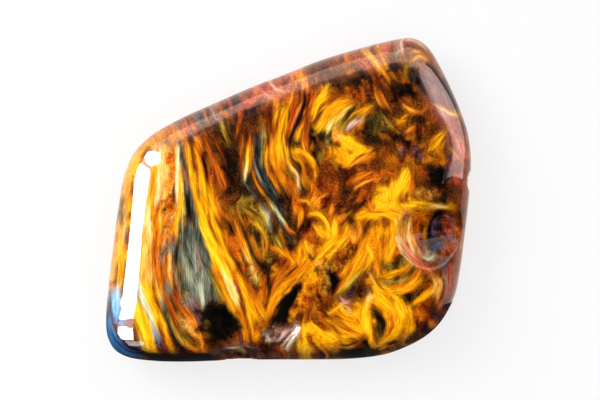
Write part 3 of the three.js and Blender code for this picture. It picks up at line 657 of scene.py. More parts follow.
CENTRE = [
    patch("rust", (0.3, 0.26, 0.3), (322, 172, 22), (342, 178, 30), (366, 178, 26), contrast=0.14),
    patch("rust", (0.36, 0.42, 0.4), (328, 190, 16), (350, 196, 24), (366, 196, 20), contrast=0.2),
    patch("gold", (0.34, 0.4, 0.36), (376, 150, 18), (394, 158, 26), (412, 166, 18), contrast=0.12),
    patch("mauve", (0.5, 0.5), (400, 148, 10), (410, 152, 10), contrast=0.04),
    patch("gold", (0.42, 0.45), (324, 156, 16), (334, 162, 12), contrast=0.16),
    patch("gold", (0.78, 0.82, 0.82, 0.78), (340, 153, 15), (350, 149, 20), (360, 150, 16), (368, 149, 7),
          contrast=0.08, firm=1.6),
    lock("gold", (0.76, 0.84, 0.86, 0.8), (344, 166, 5), (352, 158, 9), (360, 152, 9), (369, 147, 4),
         contrast=0.06),
    lock("gold", (0.72, 0.78, 0.74), (337, 148, 6), (342, 156, 8), (344, 165, 5)),
    lock("olive", (0.6, 0.72, 0.6), (323, 148, 3), (322, 157, 4), (320, 166, 3)),
    lock("gold", (0.72, 0.82, 0.74), (333, 143, 2), (337.5, 153, 3), (343, 164, 2.4)),
    lock("gold", (0.6, 0.7), (329, 146, 3), (330, 157, 2.4)),
    lock("rust", (0.4, 0.5, 0.4), (349, 165, 1.4), (360, 157, 1.8), (371, 150, 1.6)),
    lock("rust", (0.7, 0.72, 0.6), (351, 167, 3), (362, 160, 4), (373, 151, 3)),
    lock("rust", (0.7, 0.78, 0.6), (367, 164, 3), (373, 156, 4), (379, 148, 3)),
    lock("rust", (0.4, 0.5), (383, 160, 4), (389, 144, 4)),
    patch("rust", (0.62, 0.6), (366, 170, 14), (380, 168, 16), contrast=0.14),
    lock("rust", (0.5, 0.64, 0.6), (348, 183, 4), (359, 177, 6), (372, 172, 5)),
    lock("rust", (0.66, 0.72, 0.6), (356, 186, 2), (367, 180, 2.4), (380, 175, 2.4)),
    lock("rust", (0.3, 0.25), (358, 168, 3), (366, 164, 3)),
    patch("gold", (0.05, 0.08), (366, 136, 10), (378, 140, 14), (386, 134, 10), contrast=0.06),
    lock("gold", 0.6, (380, 132, 1.4), (382.5, 132, 1.4)),
    patch("rust", (0.66, 0.68, 0.6), (320, 200, 10), (332, 200, 18), (338, 208, 10), contrast=0.14),
    lock("rust", (0.7, 0.74), (317, 200, 2.4), (331, 192, 3)),
    lock("rust", (0.75, 0.66), (329, 204, 4), (328, 217, 3)),
    patch("gold", (0.08, 0.12, 0.08), (338, 209, 5), (350, 208, 7), (362, 206, 6), contrast=0.08),
    patch("rust", (0.62, 0.6), (338, 216, 9), (346, 219, 7), contrast=0.14),
    patch("gold", 0.05, (349, 220, 5), (354, 214, 4)),
    patch("rust", (0.5, 0.5), (300, 204, 14), (306, 214, 14), contrast=0.2),
    patch("gold", 0.06, (302, 194, 6), (310, 193, 5)),
    lock("rust", (0.7, 0.78, 0.7), (313, 182, 4), (316, 190, 4), (312, 198, 3)),
    lock("gold", (0.66, 0.74, 0.74, 0.66), (297, 202, 5), (300, 211, 8), (301, 220, 5), (300, 226, 2)),
    lock("gold", (0.66, 0.72, 0.74), (298, 202, 2.4), (305, 200, 2.8), (313, 206, 2.4)),
    patch("gold", 0.05, (288, 200, 6), (290, 216, 7), (296, 232, 10), (304, 234, 10), contrast=0.04),
    patch("rust", (0.36, 0.6, 0.72, 0.72), (305, 228, 12), (312, 236, 16), (320, 246, 18), (318, 254, 12),
          contrast=0.08),
    patch("gold", 0.06, (305, 224, 10), (311, 226, 6), contrast=0.04),
    lock("gold", (0.8, 0.86, 0.86, 0.86, 0.8), (308, 214, 5), (317, 213, 7), (324, 219, 8), (328, 229, 8),
         (329.5, 239, 3), contrast=0.06),
    lock("gold", (0.6, 0.65), (319, 219, 1), (325, 225, 1.2)),
    lock("gold", (0.78, 0.87, 0.8), (314, 226, 3), (321, 233, 6), (328.5, 239, 3), contrast=0.06),
    lock("gold", (0.74, 0.88, 0.9, 0.8), (335, 217, 4), (333.5, 226, 8), (332.5, 233, 8), (332, 239, 3),
         contrast=0.06),
    lock("gold", (0.86, 0.84, 0.8, 0.78, 0.76), (349, 224, 6), (344, 235, 11), (336, 244, 11),
         (326, 253, 11), (314, 264, 8), contrast=0.07),
    lock("rust", (0.5, 0.6), (340, 224, 2.4), (337, 236, 2)),
    patch("rust", (0.66, 0.64, 0.6), (352, 236, 8), (346, 248, 10), (339, 262, 12), contrast=0.2),
    lock("rust", (0.6, 0.72, 0.66), (360, 221, 3), (361, 230, 3.4), (358, 240, 3)),
    patch("gold", 0.1, (366, 224, 3), (363, 236, 3)),
    patch("gold", 0.04, (357, 246, 4), (353, 256, 7), (346, 265, 7), (339, 272, 4), contrast=0.04),
]

FLAME = [
    patch("gold", (0.66, 0.64, 0.56), (376, 226, 26), (374, 246, 30), (384, 262, 28), contrast=0.1),
    patch("olive", (0.3, 0.28), (388, 260, 14), (396, 266, 16), contrast=0.1),
    patch("gold", (0.8, 0.84, 0.86), (372, 203, 12), (386, 202, 22), (398, 201, 24), contrast=0.05,
          firm=1.6),
    patch("gold", (0.88, 0.88, 0.86), (401, 198, 18), (403, 184, 16), (407, 172, 8), contrast=0.05,
          firm=1.6),
    lock("gold", (0.84, 0.9, 0.9, 0.84), (408, 170, 5), (403, 182, 11), (398, 194, 14), (392, 204, 10),
         contrast=0.06),
    lock("gold", (0.8, 0.86, 0.86), (393, 182, 5), (393, 193, 8), (390, 204, 7), contrast=0.06),
    lock("gold", (0.8, 0.84, 0.86), (376, 188, 3), (384, 190, 4), (391, 192, 4)),
    lock("rust", (0.66, 0.75, 0.6), (413, 174, 3), (411, 190, 4), (407, 203, 3)),
    lock("gold", (0.72, 0.8, 0.85, 0.84), (358, 217, 5), (372, 213, 9), (386, 213, 10), (400, 216, 7),
         contrast=0.06),
    lock("gold", (0.8, 0.9, 0.9, 0.84), (360, 218, 2), (376, 216, 3), (388, 217, 3.4), (397, 223, 3)),
    lock("rust", (0.7, 0.66), (368, 202, 3), (370, 210, 3)),
    lock("gold", 0.68, (364, 210, 1.5), (380, 209.5, 1.5), (396, 211, 1.5)),
    lock("gold", 0.7, (376, 198, 1.2), (386, 203, 1.2)),
    patch("rust", (0.6, 0.62), (380, 182, 7), (387, 183, 9), contrast=0.24),
    lock("rust", (0.66, 0.76), (384, 176, 3), (394, 177, 5)),
    lock("gold", (0.74, 0.76, 0.6), (380, 222, 1.6), (379.5, 238, 2.4), (377, 252, 1.6)),
    lock("gold", (0.72, 0.76, 0.74, 0.6), (389, 222, 3), (388.5, 238, 4), (384, 252, 3.4), (379, 265, 2)),
    lock("gold", (0.8, 0.82, 0.76, 0.6), (394, 221, 4), (396, 234, 6), (392, 248, 5), (386, 262, 3),
         contrast=0.08),
    lock("gold", (0.5, 0.55), (384, 224, 2), (383.5, 240, 2), (380, 254, 1.6)),
    patch("gold", 0.4, (381, 225, 5), (385, 228, 4)),
]

BRECCIA = [
    patch("gold", (0.6, 0.66, 0.64, 0.6), (292, 262, 30), (304, 284, 36), (312, 304, 36), (314, 318, 26),
          contrast=0.12),
    patch("rust", (0.66, 0.7), (330, 262, 22), (322, 276, 24), contrast=0.2),
    *grains("rust", (0.15, 0.45), 1.8, 90, 21, (300, 262, 30), (310, 280, 36), (314, 312, 30)),
    *grains("gold", (0.74, 0.84), 1.9, 70, 22, (296, 262, 26), (318, 272, 30), (312, 300, 34)),
    *grains("gold", (0.02, 0.1), 2.2, 40, 23, (326, 264, 14), (334, 276, 16), (330, 292, 8)),
    patch("gold", (0.08, 0.1), (288, 246, 8), (296, 250, 8), contrast=0.1),
    lock("gold", (0.76, 0.78, 0.74, 0.7, 0.66), (310, 264, 8), (299, 273, 13), (287, 284, 13),
         (276, 298, 10), (268, 314, 5), contrast=0.08),
    lock("gold", (0.6, 0.68, 0.7), (281, 272, 4), (276, 286, 5), (268, 300, 4)),
    lock("rust", (0.5, 0.6, 0.55), (288, 264, 7), (278, 276, 7), (270, 290, 6)),
    lock("rust", (0.35, 0.3), (296, 266, 1.6), (284, 279, 2), (273, 294, 1.6)),
    lock("rust", (0.4, 0.36), (303, 272, 1.4), (290, 285, 1.8), (279, 300, 1.6)),
    lock("rust", (0.7, 0.75, 0.74), (282, 248, 4), (290, 257, 5), (296, 265, 5)),
    lock("gold", 0.05, (268, 274, 2), (269, 288, 4), (267, 300, 3)),
    lock("gold", (0.7, 0.74, 0.66), (262, 276, 6), (264, 288, 6), (264, 300, 5)),
    lock("gold", (0.76, 0.8), (299, 243, 1.6), (299, 264, 1.8)),
    lock("gold", (0.76, 0.84, 0.78), (303, 241, 2), (307, 248, 3.4), (311, 254, 3)),
    lock("gold", (0.9, 0.84), (300, 243, 2), (303, 247, 2)),
    patch("gold", (0.8, 0.82), (304, 260, 9), (310, 265, 8), contrast=0.08),
    patch("gold", 0.08, (310, 254, 4), (314, 260, 4)),
    patch("gold", 0.04, (319, 267, 4), (314, 272, 3), contrast=0.03),
    lock("gold", (0.8, 0.84), (330, 264, 4), (332.5, 271, 3)),
    lock("gold", (0.8, 0.84), (331, 285, 2.6), (333, 288, 2.6)),
    lock("gold", (0.66, 0.72), (298, 284, 3), (297, 296, 2.4)),
    lock("gold", (0.5, 0.45), (291, 302, 2.4), (280, 310, 2.6), (273, 324, 2.6)),
    patch("gold", 0.03, (262, 329, 5), (271, 329, 7), contrast=0.02),
    lock("rust", (0.62, 0.5), (309, 312, 4), (304, 324, 4)),
    lock("rust", (0.4, 0.36), (312, 300, 3), (306, 318, 3)),
    patch("gold", (0.7, 0.74, 0.72), (300, 330, 12), (312, 332, 16), (318, 344, 20), contrast=0.14),
    patch("gold", (0.14, 0.2, 0.4), (250, 346, 7), (266, 349, 10), (284, 350, 10), contrast=0.2),
    lock("gold", (0.5, 0.6), (276, 345, 3), (286, 350, 4)),
    patch("rust", 0.4, (306, 337, 5), (313, 340, 6), contrast=0.12),
    lock("gold", (0.74, 0.76), (322, 346, 4), (327, 352, 5)),
]

LOWER_RIGHT = [
    patch("gold", (0.2, 0.24, 0.3), (360, 276, 18), (364, 288, 22), (356, 298, 20), contrast=0.12),
    patch("mauve", (0.1, 0.12), (350, 289, 12), (358, 288, 9), contrast=0.05),
    patch("gold", (0.55, 0.56), (372, 268, 14), (378, 282, 16), contrast=0.1),
    lock("gold", (0.66, 0.72, 0.74, 0.7, 0.56), (366, 232, 10), (360, 248, 14), (352, 264, 15),
         (341, 279, 12), (329, 294, 5), contrast=0.08),
    lock("gold", (0.8, 0.87, 0.86, 0.7), (365, 246, 4), (369, 256, 8), (366, 264, 7), (358, 272, 4),
         contrast=0.05),
    lock("olive", (0.6, 0.6, 0.5), (362, 270, 3), (350, 283, 4), (334, 297, 3)),
    lock("gold", (0.6, 0.7, 0.6), (375, 256, 2.4), (377.5, 270, 3), (377, 284, 2.4)),
    lock("olive", (0.7, 0.75), (370, 275, 1.4), (376, 288, 1.6)),
    patch("olive", (0.42, 0.46, 0.44), (390, 266, 24), (402, 278, 30), (410, 286, 20), contrast=0.08),
    lock("gold", (0.66, 0.76, 0.8, 0.6), (379, 279, 3), (393, 275, 5), (403, 269, 5), (409, 262, 3)),
    lock("gold", (0.6, 0.72, 0.76, 0.7), (386, 290, 4), (400, 286, 8), (412, 279, 7), (418, 268, 4),
         contrast=0.08),
    lock("gold", (0.62, 0.7, 0.6), (396, 293, 3), (410, 290, 6), (419, 281, 5)),
    lock("gold", 0.45, (384, 276, 1.4), (400, 274, 1.6), (412, 265, 1.4)),
    lock("olive", (0.8, 0.75), (381, 284, 1.2), (396, 281, 1.4), (408, 275, 1.2)),
    patch("gold", (0.3, 0.26), (424, 276, 10), (428, 284, 13), contrast=0.08),
    patch("gold", 0.06, (398, 297, 6), (408, 298, 10), (416, 302, 9), contrast=0.06),
    patch("rust", (0.5, 0.6, 0.5), (432, 288, 12), (426, 302, 18), (430, 316, 18), contrast=0.18),
    lock("gold", (0.7, 0.74), (434, 290, 4), (423, 297, 5), (414, 304, 3)),
    lock("rust", 0.25, (425, 304, 2), (419, 311, 2)),
    patch("rust", (0.24, 0.3), (420, 318, 10), (418, 330, 12), contrast=0.2),
    lock("gold", (0.6, 0.64), (432, 320, 3), (429, 332, 4)),
    # the round swirl
    patch("gold", (0.74, 0.78, 0.76), (342, 312, 14), (350, 322, 20), (362, 328, 16), contrast=0.08),
    patch("gold", (0.74, 0.74, 0.72, 0.66), (372, 300, 18), (390, 306, 22), (398, 326, 24), (382, 344, 16),
          contrast=0.04),
    lock("gold", (0.76, 0.82, 0.8), (334, 322, 5), (348, 328, 8), (363, 333, 7), contrast=0.08),
    lock("gold", (0.72, 0.78, 0.74), (338, 312, 5), (347, 319, 8), (358, 325, 6), contrast=0.08),
    lock("gold", (0.66, 0.76, 0.7), (350, 299, 2), (341, 305, 3), (331, 314, 3)),
    patch("gold", 0.1, (344, 306, 5), (350, 314, 5), contrast=0.05),
    lock("slate", (0.6, 0.9), (348, 307, 2), (350, 312, 2.4)),
    lock("mauve", (0.7, 0.9, 0.7), (342, 298, 2), (347, 301, 3), (351, 299, 3)),
    lock("gold", (0.8, 0.84, 0.86, 0.84, 0.78), (368, 297, 9), (365, 310, 12), (365, 322, 12),
         (368, 336, 9), (373, 348, 4), contrast=0.06),
    lock("gold", (0.76, 0.83, 0.84, 0.82, 0.78, 0.72), (375, 291, 8), (387, 299, 15), (396, 311, 17),
         (398, 327, 16), (389, 342, 12), (376, 350, 5), contrast=0.05),
    lock("gold", (0.8, 0.88, 0.9, 0.86), (391, 304, 3), (400, 317, 5), (399, 332, 5), (390, 344, 4),
         contrast=0.06),
    lock("gold", (0.74, 0.8, 0.78, 0.7), (402, 305, 4), (410, 316, 6), (412, 328, 5), (404, 340, 5)),
    lock("gold", (0.6, 0.62, 0.6), (396, 306, 1.4), (404, 319, 1.6), (402, 334, 1.6), (393, 346, 1.4)),
    lock("gold", (0.64, 0.66), (386, 312, 1.4), (394, 324, 1.4), (391, 338, 1.4)),
    lock("rust", (0.6, 0.66, 0.6), (384, 326, 2), (390, 319, 2.4), (394, 316, 1.6)),
    lock("gold", (0.6, 0.66), (380, 345, 2.4), (388, 334, 3), (391, 322, 2)),
    lock("olive", (0.3, 0.14, 0.2, 0.4), (371, 311, 3), (379, 317, 8), (382, 328, 9), (377, 342, 4),
         contrast=0.08),
    lock("gold", 0.03, (375, 312, 3), (380, 316, 5), (383, 322, 3), contrast=0.03),
    lock("gold", (0.66, 0.74), (374, 338, 3), (372, 324, 3), (370, 312, 2)),
    lock("olive", (0.55, 0.5), (376, 324, 1.5), (379, 336, 1.8)),
    lock("gold", (0.84, 0.86, 0.82), (375, 288, 3), (377, 295, 5), (382, 300, 5)),
    lock("peach", (0.7, 0.75), (368, 297, 5), (372, 294, 5)),
    patch("rust", (0.5, 0.4), (357, 336, 9), (363, 340, 9), contrast=0.12),
    patch("gold", 0.04, (366, 339, 4), (364, 345, 7), contrast=0.03),
    lock("gold", (0.8, 0.95, 0.9, 0.7), (340, 336, 2), (350, 335, 2), (357, 337, 2), (360, 341, 1)),
    lock("rust", 0.25, (347, 338.5, 2.4), (356, 339.5, 2.4)),
    lock("gold", (0.86, 0.84), (344, 343, 5), (354, 342, 4)),
    lock("gold", 0.06, (342, 346, 2), (352, 345.5, 2.4), (359, 341, 1.8)),
    lock("gold", (0.7, 0.9, 0.8), (341, 350, 3), (349, 349, 3), (356, 346, 2.4)),
    lock("gold", (0.86, 0.88, 0.86), (322, 331, 6), (330, 335, 12), (338, 341, 9), contrast=0.05),
    lock("gold", (0.74, 0.7), (338, 344, 6), (331, 351, 8)),
    # Painted shade: dark bands along the near edge, where the near rim faces away from the light and mirrors
    # the dark room.
    patch("olive", (0.06, 0.1, 0.06), (324, 354, 6), (344, 354, 8), (364, 353.5, 10), (390, 351, 10),
          contrast=0.05),
    patch("gold", (0.06, 0.06), (394, 348, 9), (408, 342, 11), (418, 334, 8), contrast=0.06),
]

SCOOP = [
    patch("rust", (0.1, 0.14, 0.12), (418, 193, 14), (432, 191, 20), (446, 190, 16), contrast=0.16),
    *grains("rust", (0.3, 0.5), 1.6, 22, 34, (418, 196, 8), (434, 192, 10), (446, 190, 8)),
    *grains("peach", (0.2, 0.7), 0.9, 20, 33, (418, 194, 10), (434, 191, 12), (446, 194, 10)),
    # the crescent
    lock("peach", (0.3, 0.34, 0.36, 0.34), (409, 210, 11), (404, 226, 14), (406, 243, 15), (419, 260, 13),
         contrast=0.05, ragged=0.2),
    lock("ember", (0.7, 0.8, 0.78, 0.7), (403, 246, 8), (411, 257, 9), (422, 266, 8), (433, 273, 5),
         contrast=0.06),
    lock("peach", (0.6, 0.8, 0.9, 0.8), (409, 218, 2), (406.5, 230, 2.6), (408, 242, 2.4), (413, 252, 2)),
    lock("gold", (0.66, 0.8, 0.7), (403, 222, 2), (401.5, 234, 2), (404, 246, 1.6)),
    lock("peach", (0.7, 0.9, 0.9, 0.7), (399, 216, 1), (396.5, 232, 1.2), (402, 252, 1.2), (413, 264, 1)),
    patch("mauve", 0.4, (404, 216, 4), (407, 219, 4)),
    patch("gold", (0.5, 0.5, 0.4), (418, 218, 12), (417, 230, 12), (419, 241, 9), contrast=0.14),
    lock("rust", (0.6, 0.66, 0.5), (420, 214, 3), (415, 226, 4), (416, 238, 4)),
    lock("gold", (0.7, 0.86, 0.8), (427, 222, 2), (425.5, 229, 3.4), (425, 236, 2)),
    lock("gold", (0.8, 0.9, 0.94, 0.84), (400, 205, 4), (420, 204.6, 6), (438, 206, 7), (455, 206, 4),
         core_sheen=0.1),
    lock("peach", (0.7, 1.0, 0.8), (424, 208, 1.6), (437, 206, 2.4), (447, 202.6, 1.6)),
    lock("gold", (0.5, 0.74, 0.66), (402, 213, 1.4), (414, 212.6, 2), (430, 210, 2)),
    lock("gold", 0.0, (452, 212, 5), (438, 214, 8), (431, 225, 8), (431, 237, 7), (438, 244, 4),
         contrast=0.01, firm=2),
    patch("violet", (0.3, 0.4, 0.34), (437, 220, 5), (435, 230, 5), (434, 238, 4), contrast=0.12),
    patch("mauve", (0.2, 0.3, 0.3), (448, 216, 10), (446, 228, 10), contrast=0.2),
    patch("violet", (0.36, 0.4), (447, 234, 9), (450, 244, 8), contrast=0.14),
    patch("slate", (0.04, 0.1, 0.04), (416, 243, 7), (428, 244, 9), (438, 242, 7), contrast=0.16),
    patch("slate", (0.6, 0.7, 0.6), (423, 257, 5), (428, 253, 6), (433, 255, 5), contrast=0.16),
    lock("slate", (0.8, 1.0, 0.8), (423, 259, 1.4), (429, 261, 1.6), (434, 258, 1.4)),
    lock("blue", (0.3, 0.4), (431, 251, 3), (442, 247, 4), contrast=0.05),
    patch("violet", (0.3, 0.4, 0.3), (436, 262, 6), (443, 262, 7), (448, 268, 5), contrast=0.16),
    patch("mauve", (0.36, 0.4), (446, 254, 8), (450, 262, 7), contrast=0.2),
    *grains("ember", (0.4, 0.66), 1.8, 26, 35, (446, 216, 14), (450, 236, 16), (450, 260, 16)),
    *grains("gold", (0.02, 0.05), 1.6, 26, 36, (444, 220, 14), (440, 246, 20), (450, 262, 14)),
    # the right flank
    patch("rust", (0.3, 0.3, 0.34), (454, 176, 12), (454, 188, 10), (455, 200, 9), contrast=0.06),
    patch("ember", (0.4, 0.44, 0.4), (461, 178, 9), (463, 194, 9), (463, 210, 9), contrast=0.08),
    patch("rust", (0.3, 0.36, 0.5), (461, 226, 9), (459, 244, 9), (456, 266, 9), contrast=0.1),
    patch("rust", (0.16, 0.2), (458, 212, 7), (460, 232, 5), contrast=0.16),
    # Painted reflection: a pale line along the right outline, where the rim mirrors the floor.
    lock("ember", (0.7, 0.8, 0.7, 0.6), (466, 186, 2.4), (466, 210, 2.4), (461, 246, 2), (457, 286, 2)),
    lock("peach", (0.4, 0.5, 0.5, 0.3), (435, 276, 4), (439, 284, 8), (438, 292, 7), (437, 302, 3),
         contrast=0.08),
    lock("mauve", (0.7, 0.74, 0.6), (446, 274, 3.4), (447.5, 290, 4), (443, 306, 3.4)),
    lock("ember", (0.56, 0.5, 0.44), (452, 268, 6), (452, 288, 6), (446, 308, 5), contrast=0.08),
    lock("rust", (0.1, 0.1), (449.5, 296, 2), (443, 312, 3), (436, 322, 2.4)),
    patch("rust", (0.5, 0.5), (430, 306, 8), (435, 314, 7), contrast=0.12),
    patch("mauve", (0.3, 0.3), (440, 310, 5), (434, 318, 6), contrast=0.1),
    patch("rust", (0.24, 0.3, 0.24), (418, 322, 10), (424, 328, 9), (418, 334, 8), contrast=0.2),
    *grains("rust", (0.4, 0.6), 1.6, 24, 37, (420, 318, 12), (424, 330, 12)),
    lock("ember", (0.5, 0.6, 0.5), (455, 284, 2), (449, 306, 2), (438, 324, 2)),
]

# Along the far rim the stone's own colours are laid lighter and pinker than they are: painted sheen that
# stands in for part of the screens' reflection there.
RIM_BAND = [
    patch("gold", (0.6, 0.56), (154, 138, 16), (164, 131, 20), (174, 126, 18), contrast=0.08),
    patch("mauve", (0.5, 0.46, 0.5), (182, 122, 18), (198, 114, 18), (214, 106, 18), contrast=0.1),
    patch("rust", (0.6, 0.56), (220, 103, 18), (238, 97, 18), contrast=0.08),
    patch("ember", (0.6, 0.66, 0.64), (248, 95, 20), (266, 88, 20), (282, 81, 18), contrast=0.03,
          ragged=0.3),
    patch("rust", (0.72, 0.76, 0.7), (290, 78, 20), (300, 74, 20), (310, 71, 16), contrast=0.06),
    patch("rust", (0.56, 0.5, 0.56), (316, 68, 18), (328, 64, 18), (338, 60, 16), contrast=0.07),
    patch("rust", (0.66, 0.72), (342, 59, 16), (352, 56, 16), contrast=0.06),
    lock("peach", (0.4, 0.5), (154, 134, 10), (159, 147, 9)),
    lock("rust", (0.6, 0.7), (169, 127, 6), (172, 139, 6)),
    lock("slate", (0.4, 0.34), (177, 123, 4), (180, 134, 4)),
    lock("ember", (0.6, 0.72), (183, 120, 5), (188, 133, 6)),
    lock("rust", (0.6, 0.7), (190, 116, 3), (195, 129, 4)),
    lock("slate", (0.3, 0.4), (197, 113, 5), (202, 125, 5)),
    lock("peach", (0.2, 0.3), (204, 110, 3), (208, 123, 3)),
    lock("mauve", (0.7, 0.76), (211, 106, 4), (216, 120, 4)),
    lock("gold", (0.6, 0.7), (220, 102, 3), (224, 116, 3)),
    lock("ember", (0.6, 0.7), (229, 99, 4), (233, 112, 3)),
    patch("violet", (0.2, 0.24), (238, 96, 6), (242, 106, 6), contrast=0.06),
    lock("ember", (0.72, 0.84, 0.72), (260, 87, 3), (269, 94, 4), (280, 97, 3)),
    lock("ember", (0.8, 0.9, 0.7), (268, 82, 2), (278, 90, 2.4), (288, 93, 2)),
    lock("gold", (0.7, 0.76), (290, 74, 3), (297, 86, 3)),
    lock("rust", (0.3, 0.36), (306, 70, 3), (313, 82, 3)),
    lock("ember", (0.76, 0.84, 0.7), (350, 52, 7), (359, 60, 9), (371, 74, 6), contrast=0.08),
    lock("peach", (0.4, 0.5, 0.3), (361, 49, 4), (370, 58, 5), (381, 73, 4)),
    lock("peach", (0.3, 0.24), (376, 48, 9), (386, 62, 7), contrast=0.08),
    patch("ember", (0.62, 0.6), (386, 46, 13), (398, 46, 14), contrast=0.04),
    lock("slate", (0.6, 0.6), (395, 42, 4), (399, 56, 4)),
    lock("mauve", (0.95, 0.9), (401, 39, 2.4), (403.5, 53, 2.4)),
    patch("ember", (0.5, 0.54), (408, 43, 7), (418, 45, 9), contrast=0.1),
    patch("rust", (0.56, 0.6, 0.62), (424, 47, 8), (436, 60, 8), (445, 76, 6), contrast=0.1),
    lock("gold", (0.7, 0.8, 0.66), (412, 52, 2.4), (420, 50.5, 2.6), (428, 56, 2)),
    lock("gold", (0.6, 0.74, 0.6), (412, 59, 2), (420, 54.5, 2.4), (430, 60, 2)),
    # the facet and the rim beside it
    patch("mauve", (0.5, 0.62, 0.5), (424, 74, 9), (434, 88, 15), (445, 103, 14), contrast=0.03,
          ragged=0.3),
    patch("ember", (0.4, 0.52, 0.5), (438, 108, 12), (449, 121, 16), (457, 134, 15), contrast=0.05),
    patch("ember", (0.56, 0.6, 0.5), (460, 145, 15), (460, 158, 16), (457, 172, 15), contrast=0.08),
    lock("violet", (0.3, 0.2, 0.26), (438, 82, 4), (448, 96, 6), (457, 112, 5), contrast=0.04),
    lock("mauve", (0.7, 0.84, 0.8, 0.7), (423, 80, 3), (430, 94, 4), (439, 109, 6), (449, 121, 5)),
    lock("peach", (0.5, 0.64, 0.5), (436, 105, 3), (446, 109.5, 4), (457, 115, 2.4)),
    lock("ember", (0.66, 0.76, 0.7), (450, 134, 5), (459, 143, 7), (462, 156, 6)),
    lock("peach", (0.3, 0.5, 0.4), (453, 150, 3), (460, 158, 4), (466, 168, 3)),
    lock("gold", (0.6, 0.66), (451, 166, 2), (459, 167, 2.4), (467, 160, 2)),
    # Painted shade: a dark line where the rim mirrors the shaded floor close to the stone.
    lock("gold", 0.03, (428, 63, 3), (437, 74, 4), (447, 90, 4), (456, 106, 3), (462, 119, 2),
         contrast=0.02),
    # Painted reflection: pale lines along the outline, where the rim mirrors the floor.
    lock("ember", (0.9, 0.95, 0.95, 0.9), (400, 37.5, 3), (420, 40, 4), (434, 53, 5), (446, 76, 5),
         contrast=0.05),
    lock("ember", (0.9, 0.85, 0.85), (446, 76, 5), (460, 105, 5), (469, 136, 4), (470, 160, 4),
         contrast=0.05),
]

DETAILS = [
    # dark pockets
    patch("gold", 0.0, (219, 300, 10), (216, 312, 30), (219, 327, 38), (221, 342, 34), contrast=0, firm=3),
    patch("olive", (0.3, 0.44), (204, 321, 4), (208, 324, 4), contrast=0.1),
    patch("gold", 0.0, (298, 284, 4), (292, 297, 8), (284, 310, 13), contrast=0, firm=3),
    patch("gold", 0.0, (272, 323, 10), (285, 317, 18), (295, 317, 12), contrast=0, firm=3),
    patch("gold", 0.01, (330, 270, 6), (330.5, 283, 7), (330, 294, 5), contrast=0.02, ragged=0.8),
    patch("gold", 0.01, (270, 262, 6), (266, 267, 12), (272, 271, 8), contrast=0.02, ragged=0.2),
    patch("gold", 0.0, (424, 171, 8), (435, 176, 16), (448, 179, 14), contrast=0, firm=3),
    patch("gold", 0.02, (434, 199, 9), (448, 198, 10), contrast=0.01, firm=2),
    patch("gold", 0.01, (392, 66, 10), (401, 71, 12), contrast=0.01, ragged=0.15),
    patch("gold", 0.01, (412, 64, 8), (416, 76, 10), (421, 90, 6), contrast=0.01, ragged=0.15),
    patch("gold", 0.02, (360, 82, 10), (369, 92, 13), (374, 102, 8), contrast=0.02, ragged=0.2),
    patch("gold", 0.02, (388, 92, 8), (402, 89, 10), (418, 93, 8), contrast=0.03),
    *grains("gold", (0.01, 0.03), 1.7, 34, 41, (322, 262, 12), (332, 276, 14), (318, 290, 10)),
    *grains("peach", (0.3, 0.8), 0.8, 26, 42, (322, 262, 14), (332, 280, 14), (322, 290, 10)),
    # the crystals in the small hollow; their pale streaks and specks are painted glints
    lock("slate", (0.9, 1.0, 0.8), (261, 336, 1.6), (266, 334.5, 3), (270, 340, 2), ragged=0.2),
    patch("mauve", (0.4, 0.5, 0.5), (271, 334, 7), (280, 334, 12), (291, 332, 10), contrast=0.24),
    lock("gold", 0.02, (272, 343, 2), (280, 339, 2.4), (285, 334, 1.6), contrast=0.01, ragged=0.15),
    lock("mauve", (0.8, 0.95, 0.9), (277, 340, 1.4), (283, 333, 1.8), (289, 327.5, 1.6), ragged=0.3),
    lock("mauve", (0.9, 1.0, 0.95), (282, 343, 1.4), (288, 335, 1.8), (294, 329, 2), ragged=0.3),
    lock("slate", (1.0, 1.0, 0.9), (286, 345, 1.4), (292, 337, 1.8), (297, 331, 2), ragged=0.3),
    lock("rust", 0.16, (280, 342, 1), (286, 334.5, 1.2), (291, 330, 1), contrast=0.02),
    lock("rust", 0.2, (284, 345, 1), (290, 337, 1.2), (295, 332, 1), contrast=0.02),
    *grains("mauve", (0.8, 1.0), 1.0, 22, 43, (268, 334, 8), (282, 330, 8), (295, 330, 8)),
    # the yellow grains beside it
    patch("gold", 0.3, (294, 346, 4), (294, 354, 4), contrast=0.04),
    lock("gold", (0.86, 0.9, 0.88), (301, 340, 9), (301, 346, 12), (300.5, 353, 9), contrast=0.02,
         ragged=0.1, firm=3),
    lock("gold", (0.78, 0.8), (308, 350, 5), (315, 350, 6), contrast=0.04, ragged=0.2, fray=3),
]

# The locks from the lowest to the highest
LOCKS = (
    *COLUMNS, *LENS, *FAN, *UPPER_MIDDLE, *UPPER_RIGHT, *CENTRE, *FLAME, *BRECCIA, *EYE, *MAIN_BAND,
    *LOWER_RIGHT, *SCOOP, *RIM_BAND, *WEST_RIM, *DETAILS,
)


def run_colour(colours, run, tone):
    """The colours of a run at tones from 0 to 1."""
    shades = np.array([getattr(colours, f"{run}_{shade}") for shade in SHADES])
    stops = np.linspace(0, 1, len(SHADES))
    return np.stack([np.interp(tone, stops, shades[:, i]) for i in range(3)], -1)


def smooth_line(points):
    """A lock's middle line as one smooth run, five steps to a leg, with its widths as third values."""
    p = np.vstack([2 * points[0] - points[1], points, 2 * points[-1] - points[-2]])
    t = np.arange(5)[:, None] / 5
    legs = []
    for a, b, c, d in zip(p, p[1:], p[2:], p[3:]):
        legs.append(
            b + 0.5 * ((c - a) * t + (2 * a - 5 * b + 4 * c - d) * t**2 + (3 * b - a - 3 * c + d) * t**3)
        )
    return np.vstack([*legs, points[-1:]])


